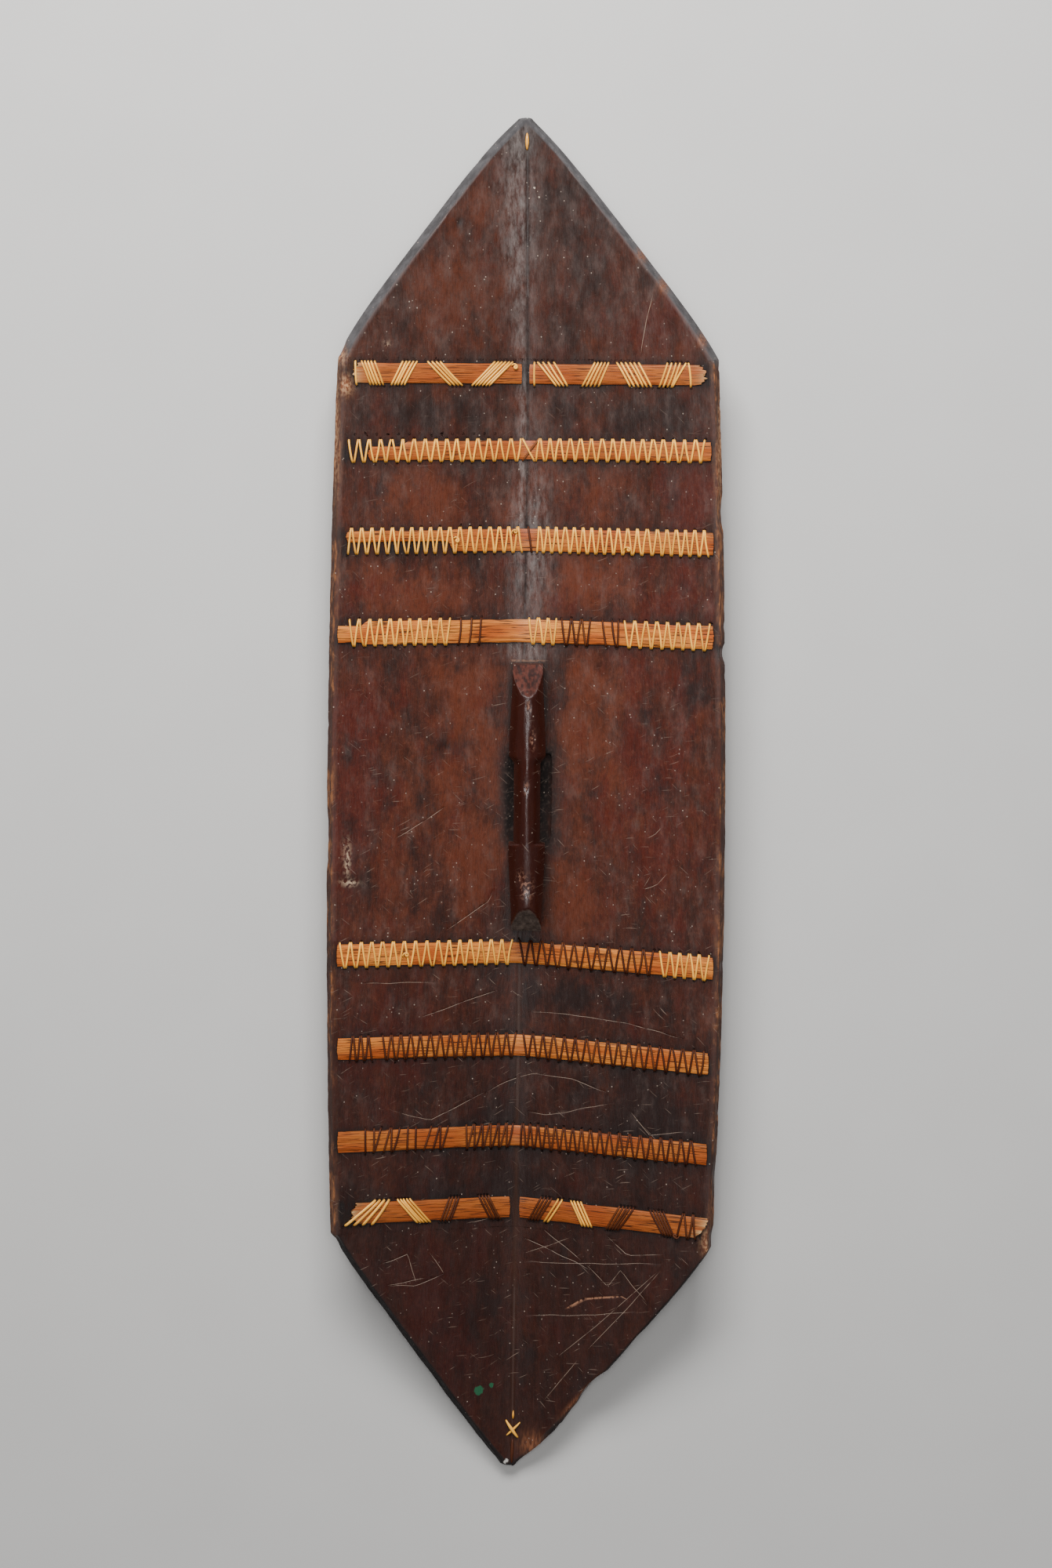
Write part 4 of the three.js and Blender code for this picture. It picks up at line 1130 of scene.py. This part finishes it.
def make_strip(name, row, start, end, start_point, end_point, slant, torn):
    """One strip with its fibres, its splintered ends and the part that is torn away."""
    half = ROWS[row][2]
    share = np.sin(np.linspace(-math.pi / 2, math.pi / 2, STRIP_COLUMNS))[None, :]
    seed = 40 + row

    def fray(point, side):
        """How far each fibre of an end is broken back."""
        return point * (0.55 * np.abs(share) ** 1.3 + 0.45 * np.abs(bumps(share * 8, side, seed)))

    first = start + fray(start_point, start / 50)
    last = end - fray(end_point, end / 50) - slant * (1 - share) / 2
    stations = max(8, round((end - start) / STRIP_STEP))
    u = mix(first, last, np.linspace(0, 1, stations)[:, None])
    low, high = -1 + 0 * u, 1 + 0 * u
    if torn:
        up_to, torn_low, torn_high = torn
        left = 1 - ease(u + 2.5 * bumps(share * 4, 0, seed), up_to - 2, up_to + 3)
        low, high = mix(-1, torn_low, left), mix(1, torn_high, left)
    v = half * mix(low, high, (share + 1) / 2) + 0.25 * bumps(u / 30, 0, seed + 20)
    fibres = 0.16 * bumps(share * 8, u / 50, seed + 10) + 0.06 * bumps(u / 3, share * 2, seed + 30)
    edge = np.abs(share) > 0.999
    height = np.where(edge, STRIP_REST + 0.25, strip_height(share) + fibres)
    top = over_row(row, u, v, height)
    bottom = over_row(row, u, v, STRIP_REST - 0.15)[:, ::-UNDER_STEP]
    piece = add_piece("rattan_" + name, [loft(np.concatenate([top, bottom], axis=1))])
    flat = np.stack(np.broadcast_arrays(u, v, row * 40.0), axis=-1)
    flat = np.concatenate([flat, flat[:, ::-UNDER_STEP]], axis=1)
    keep_place(piece, flat)
    u, v = flat[:, :, 0], flat[:, :, 1]
    from_start, from_end = u - start, end - slant * (1 - v / half) / 2 - u
    splintered = (start_point > LONG_SPLINTERS) * np.exp(-from_start / LONG_SPLINTERS)
    splintered = splintered + (end_point > LONG_SPLINTERS) * np.exp(-from_end / LONG_SPLINTERS)
    keep_mark(piece, "splintered", np.clip(splintered, 0, 1).reshape(-1))
    keep_mark(piece, "browned", np.full(len(piece.data.vertices), BROWNED[row]))
    piece.data.shade_smooth()
    piece.data.set_sharp_from_angle(angle=math.radians(50))
    return piece


def fibre(tree, along, across, detail, shift):
    """Random lines along a strip or strand, of that length and width in millimetres."""
    on_strip = add(tree, "Attribute", {}, attribute_name="strip_place")["Vector"]
    sized = {0: on_strip, 1: (1 / along, 1 / across, 1), 2: (shift, shift, 0)}
    vector = add(tree, "VectorMath", sized, operation="MULTIPLY_ADD")[0]
    return add(tree, "TexNoise", {"Vector": vector, "Scale": 1, "Detail": detail})["Fac"]


# Split rattan: the inside of a cane stem, orange-brown and satin, with dark vessel lines along its length.
rattan, tree, shader = start_material("split_rattan")
vessels = fibre(tree, 45, 1.1, 3, 0)
cracks = fibre(tree, 22, 1, 2, 4.4)
tone = fibre(tree, 50, 16, 2, 8.1)
rattan_coats = [
    ("#853c16", "browned", 0.9),
    ("#803c12", (vessels, 0.42, 0.7, 0.75)),
    ("#2f1508", (cracks, 0.54, 0.62, 0.85)),
    ("#e3bf86", "splintered", (vessels, 0.3, 0.6, 0.9)),
]
colour = coats(tree, lay(tree, "#b0531a", "#dd8a38", (tone, 0.3, 0.7, 1)), rattan_coats)
tree.links.new(colour, shader.inputs["Base Color"])
raised = add(tree, "Math", {0: cracks, 1: -0.8, 2: vessels}, operation="MULTIPLY_ADD")[0]
normal = add(tree, "Bump", {"Height": raised, "Strength": 0.5, "Distance": 0.8 * MM})["Normal"]
tree.links.new(normal, shader.inputs["Normal"])
shader.inputs["Roughness"].default_value = 0.45
shader.inputs["Specular IOR Level"].default_value = 0.3

for strip in STRIPS:
    piece = make_strip(*strip)
    piece.data.materials.append(rattan)
    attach(piece, "root")
    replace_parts(piece, strip[0])

# The lacing: narrow strands of cane, peeled pale or stained dark, that cross a strip from hole to hole and
# hold it down. Each strand is flat, rises over the strip's edge and dives into its hole at both ends.
# Width and thickness of each cane, and how much wider the leaf-like strands at the left of row 8 are
CANES = {"light": (1.9, 1.6), "dark": (2, 1.5)}
LEAF_SHARE = 1.35
LEAF_STRETCH = (8, 1)
CANE_SIDES = 10
STRAND_BOW = 0.35
STRAND_DIVE = -2.4
FRONT_STITCH_HALF = 2.2
FRONT_STITCH_STEPS = 7
FRONT_STITCH_CLEAR = 2.5
# Shares of the way from the middle of the strip to the hole, where a strand's height is set
CANE_STEPS = np.array([-1, -0.96, -0.9, -0.83, -0.74, -0.6, -0.3, 0, 0.3, 0.6, 0.74, 0.83, 0.9, 0.96, 1])


def tube(path, up, width, thick):
    """A flat strand with round edges along a path of points, with its own up direction at each."""
    ahead = np.gradient(path, axis=0)
    ahead = ahead / np.linalg.norm(ahead, axis=1, keepdims=True)
    sideways = np.cross(ahead, up)
    sideways = sideways / np.linalg.norm(sideways, axis=1, keepdims=True)
    upright = np.cross(sideways, ahead)
    turn = np.linspace(0, 2 * math.pi, CANE_SIDES, endpoint=False)[None, :, None]
    width, thick = np.reshape(width, (-1, 1, 1)), np.reshape(thick, (-1, 1, 1))
    ring = sideways[:, None] * np.cos(turn) * width / 2 + upright[:, None] * np.sin(turn) * thick / 2
    return loft(path[:, None] + ring)


def wing_up(x):
    """Direction square to the board's inner face, away from it."""
    tilt = -WING_SLOPE * np.tanh(x / 12)
    return np.stack([tilt, 0 * x, 1 + 0 * x], axis=-1)


def strand(row, leg, width, thick, chance):
    """One leg of lacing, from hole to hole over the strip."""
    (u_start, side_start), (u_end, side_end) = leg
    half = ROWS[row][2]
    reach = half + LACE_REACH
    v = CANE_STEPS * reach * np.sign(side_end - side_start)
    share = (CANE_STEPS + 1) / 2
    bow = chance.normal(0, STRAND_BOW) * (1 - CANE_STEPS**2)
    inwards = 0.5 * np.sign(u_end - u_start)
    u = mix(u_start + inwards, u_end - inwards, share) + bow
    lie = strip_height(v / half) + 0.42 * thick
    dive = ease(np.abs(v), half + 0.1, reach)
    height = mix(lie, STRAND_DIVE, dive)
    return tube(over_row(row, u, v, height), wing_up(u), width * (1 - 0.25 * dive), thick)


def front_stitches(row, legs, width, thick):
    """Short stitches on the front where a strand goes from one hole to the next, clear of the ridge."""
    tips = sorted({(round(side), round(u, 2)) for leg in legs for u, side in leg})
    along = np.linspace(-1, 1, FRONT_STITCH_STEPS)
    solids = []
    for i, (side, u) in enumerate(tips):
        apart = [abs(u - other) for j, (beside, other) in enumerate(tips) if j != i and beside == side]
        half = min(FRONT_STITCH_HALF, 0.4 * min(apart, default=9))
        x = u + half * along
        y = over_row(row, x, side * (ROWS[row][2] + LACE_REACH), 0)[:, 1]
        z = front_z(x, y) + 0.4 + 1.4 * np.abs(along) ** 3
        if z.min() > FRONT_STITCH_CLEAR:
            solids.append(tube(np.stack([x, y, z], axis=-1), wing_up(x), width, thick))
    return solids


def along_strand(points):
    """Distance of each point from the start of its strand."""
    middle = points.reshape(-1, CANE_SIDES, 3).mean(1)
    steps = np.linalg.norm(np.diff(middle, axis=0), axis=1)
    return np.repeat(np.cumsum([0, *steps]), CANE_SIDES)


def add_strands(name, solids, tones, shade):
    """A piece of several strands, each with its own tone and its place along the strand for the material."""
    piece = add_piece(name, solids)
    counts = [len(points) for points, _ in solids]
    along = np.concatenate([along_strand(points) for points, _ in solids])
    around = np.concatenate([np.tile(np.arange(CANE_SIDES) * 0.8, count // CANE_SIDES) for count in counts])
    number = np.repeat(np.arange(len(solids)) * 5.3, counts)
    keep_place(piece, np.stack([along, around, number], axis=-1))
    keep_mark(piece, "strand_tone", np.repeat(tones, counts))
    piece.data.shade_smooth()
    piece.data.materials.append(CANE_FINISH[shade])
    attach(piece, "root")
    return piece


def cane_material(name, fresh, aged, line, line_length, roughness, shine):
    """Cane skin from a fresh to an aged tone, with finer lines along it."""
    material, tree, shader = start_material(name)
    lines = fibre(tree, line_length, 0.9, 2, 0)
    colour = lay(tree, lay(tree, fresh, aged, "strand_tone"), line, (lines, 0.45, 0.75, 0.4))
    tree.links.new(colour, shader.inputs["Base Color"])
    normal = add(tree, "Bump", {"Height": lines, "Strength": 0.3, "Distance": 0.3 * MM})["Normal"]
    tree.links.new(normal, shader.inputs["Normal"])
    shader.inputs["Roughness"].default_value = roughness
    shader.inputs["Specular IOR Level"].default_value = shine
    return material


# Peeled cane is the glossy straw-yellow skin of rattan, a little browner where hands have rubbed it. Stained
# cane is the same skin blackened with smoke and sap, so dark brown with hardly any shine.
CANE_FINISH = {
    "light": cane_material("peeled_pale_cane", "#ffba48", "#8c4519", "#b56a1e", 14, 0.32, 0.45),
    "dark": cane_material("stained_dark_cane", "#3f1c0e", "#73401f", "#2a150e", 12, 0.5, 0.2),
}

# Ends of cane tied off in small knots: row, number of the stretch, place along the row and across it
KNOTS = [(1, 5, -12, 6), (3, 1, -62.5, 0), (3, 1, -11, 7.5)]
KNOTS += [(3, 3, 89, -6.5), (5, 1, -105.3, 0), (8, 9, 136, -9)]
KNOT_STEPS = 18
KNOT_TURN = 8.5
KNOT_CANE = (1.9, 1.4)


def knot(row, u, v, turn):
    """A strand end wound once round itself, with a loose tail."""
    step = np.linspace(0, 1, KNOT_STEPS)
    tail = ease(step, 0.75, 1)
    angle = turn + KNOT_TURN * step
    reach = mix(0.9, 1.4, step) + 2.5 * tail
    lift = strip_height(v / ROWS[row][2]) + 1.6 + 1.3 * step - 1.6 * tail
    path = over_row(row, u + reach * np.cos(angle), v + reach * np.sin(angle), lift)
    width, thick = KNOT_CANE
    return tube(path, wing_up(0 * step + u), width * (1 - 0.5 * tail), thick)


chance = np.random.default_rng(5)
in_row = {}
for row, shade, legs in LACING:
    in_row[row] = in_row.get(row, 0) + 1
    stretch = (row, in_row[row])
    width, thick = CANES[shade]
    if stretch == LEAF_STRETCH:
        width *= LEAF_SHARE
    solids = [strand(row, leg, width, thick, chance) for leg in legs]
    solids += front_stitches(row, legs, width, thick)
    solids += [knot(row, u, v, u) for knot_row, number, u, v in KNOTS if (knot_row, number) == stretch]
    tones = np.clip(chance.normal(0.14, 0.14, len(solids)), 0, 0.5)
    name = f"{row}_{in_row[row]}_{shade}"
    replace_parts(add_strands("cane_" + name, solids, tones, shade), "lacing_" + name)

# One dark strand crosses the pale run over the valley in the second row
crossing = [strand(2, ((10.6, UP), (-6.9, DOWN)), *CANES["dark"], chance)]
add_strands("cane_2_crossing_dark", crossing, [0.9], "dark")

# The tip stitches: short leaf-shaped strands of peeled cane, sewn through the board from hole to hole.
# One stands upright at the top tip and two cross at the bottom tip, over a dark sliver of cane.
STITCH_STEPS = 13
STITCH_SUNK = 1.4


def stitch(start, end, width, thick, lift):
    """A short strand on the board from one hole to another, widest in its middle like a leaf."""
    share = np.linspace(0, 1, STITCH_STEPS)
    swell = np.sin(math.pi * share)
    x, y = mix(start[0], end[0], share), mix(start[1], end[1], share)
    z = inner_z(x, y) - STITCH_SUNK + (lift + STITCH_SUNK) * np.sqrt(swell)
    return tube(np.stack([x, y, z], axis=-1), wing_up(0 * x), width * (0.45 + 0.55 * swell), thick)


top_stitch = [stitch((-3.3, 596), (-3.3, 581.5), 3.2, 1.8, 1.6)]
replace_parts(add_strands("cane_tip_stitch_top", top_stitch, [0.4], "light"), "tip_stitch_top")
cross = [
    stitch((-1, -567.5), (-14, -580.5), 2.2, 1.3, 2),
    stitch((-14.5, -565.5), (-3, -582.5), 3, 1.5, 3.1),
    stitch((-7.6, -557.5), (-7.8, -565), 2, 1.2, 1),
]
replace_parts(add_strands("cane_tip_stitch_bottom", cross, [0.1, 0.05, 0.45], "light"), "tip_stitch_bottom")
sliver = [stitch((-8.2, -584), (-8.8, -607), 3, 1.6, 0.6)]
add_strands("cane_tip_sliver", sliver, [0.15], "dark")

# The floor: a plain pale sheet of matt paper under the shield, wide enough to fill the picture.
# Soft studio light falls from the top tip's side, and a narrow strip light glints on the grip's crown.
FLOOR_HALF = 14
floor_mesh = bpy.data.meshes.new("floor")
corners = FLOOR_HALF * np.array([(-1, -1, 0), (1, -1, 0), (1, 1, 0), (-1, 1, 0)])
floor_mesh.from_pydata(corners.tolist(), [], [(0, 1, 2, 3)])
floor = bpy.data.objects.new("floor", floor_mesh)
bpy.context.scene.collection.objects.link(floor)
paper, tree, shader = start_material("matt_paper")
mottle = add(tree, "TexNoise", {"Vector": place_in_mm(tree), "Scale": 0.01, "Detail": 2})["Fac"]
tree.links.new(lay(tree, "#c4c2bf", "#cac8c5", mottle), shader.inputs["Base Color"])
shader.inputs["Roughness"].default_value = 0.9
floor_mesh.materials.append(paper)


def add_light(name, place, aim, size, watts):
    """A soft rectangular light at a place in metres, turned towards its aim."""
    light = bpy.data.lights.new(name, "AREA")
    light.shape, light.size, light.size_y, light.energy = "RECTANGLE", *size, watts
    lamp = bpy.data.objects.new(name, light)
    back = np.array(place) - np.array(aim)
    back = back / np.linalg.norm(back)
    side = np.cross((0, 0, 1), back)
    side = side / np.linalg.norm(side)
    turned = np.stack([side, np.cross(back, side), back], axis=1)
    lamp.matrix_world = Matrix.Translation(place) @ Matrix(turned.tolist()).to_4x4()
    bpy.context.scene.collection.objects.link(lamp)


add_light("key", (-0.2, 1.9, 1.7), (0, 0.35, 0), (1.5, 0.9), 112)
add_light("fill", (0, -0.3, 2.8), (0, 0, 0), (2.4, 2.4), 14)
add_light("strip", (0, 0.2, 2.6), (0, 0.21, 0), (0.5, 0.7), 17)
world = bpy.data.worlds.new("studio")
world.use_nodes = True
world.node_tree.nodes["Background"].inputs["Color"].default_value = paint("#c9ccd1")
world.node_tree.nodes["Background"].inputs["Strength"].default_value = 0.25
bpy.context.scene.world = world

# The camera: it looks down on the lying shield from a little on the top tip's side, with a long lens
# and from far enough away that both tips are drawn alike.
CAMERA_TARGET = (-0.15, 20.8, 35)
CAMERA_DISTANCE = 3550
CAMERA_TILT = math.radians(-6)
CAMERA_ROLL = math.radians(0.42)
CAMERA_LENS = 91.4
FILM_WIDTH = 36
SEEN_METRES = 50
lens = bpy.data.cameras.new("camera")
lens.lens, lens.sensor_width, lens.clip_end = CAMERA_LENS, FILM_WIDTH, SEEN_METRES
camera = bpy.data.objects.new("camera", lens)
aim = Matrix.Translation([v * MM for v in CAMERA_TARGET]) @ Matrix.Rotation(CAMERA_TILT, 4, "X")
aim = aim @ Matrix.Rotation(CAMERA_ROLL, 4, "Z")
camera.matrix_world = aim @ Matrix.Translation((0, 0, CAMERA_DISTANCE * MM))
bpy.context.scene.collection.objects.link(camera)
bpy.context.scene.camera = camera
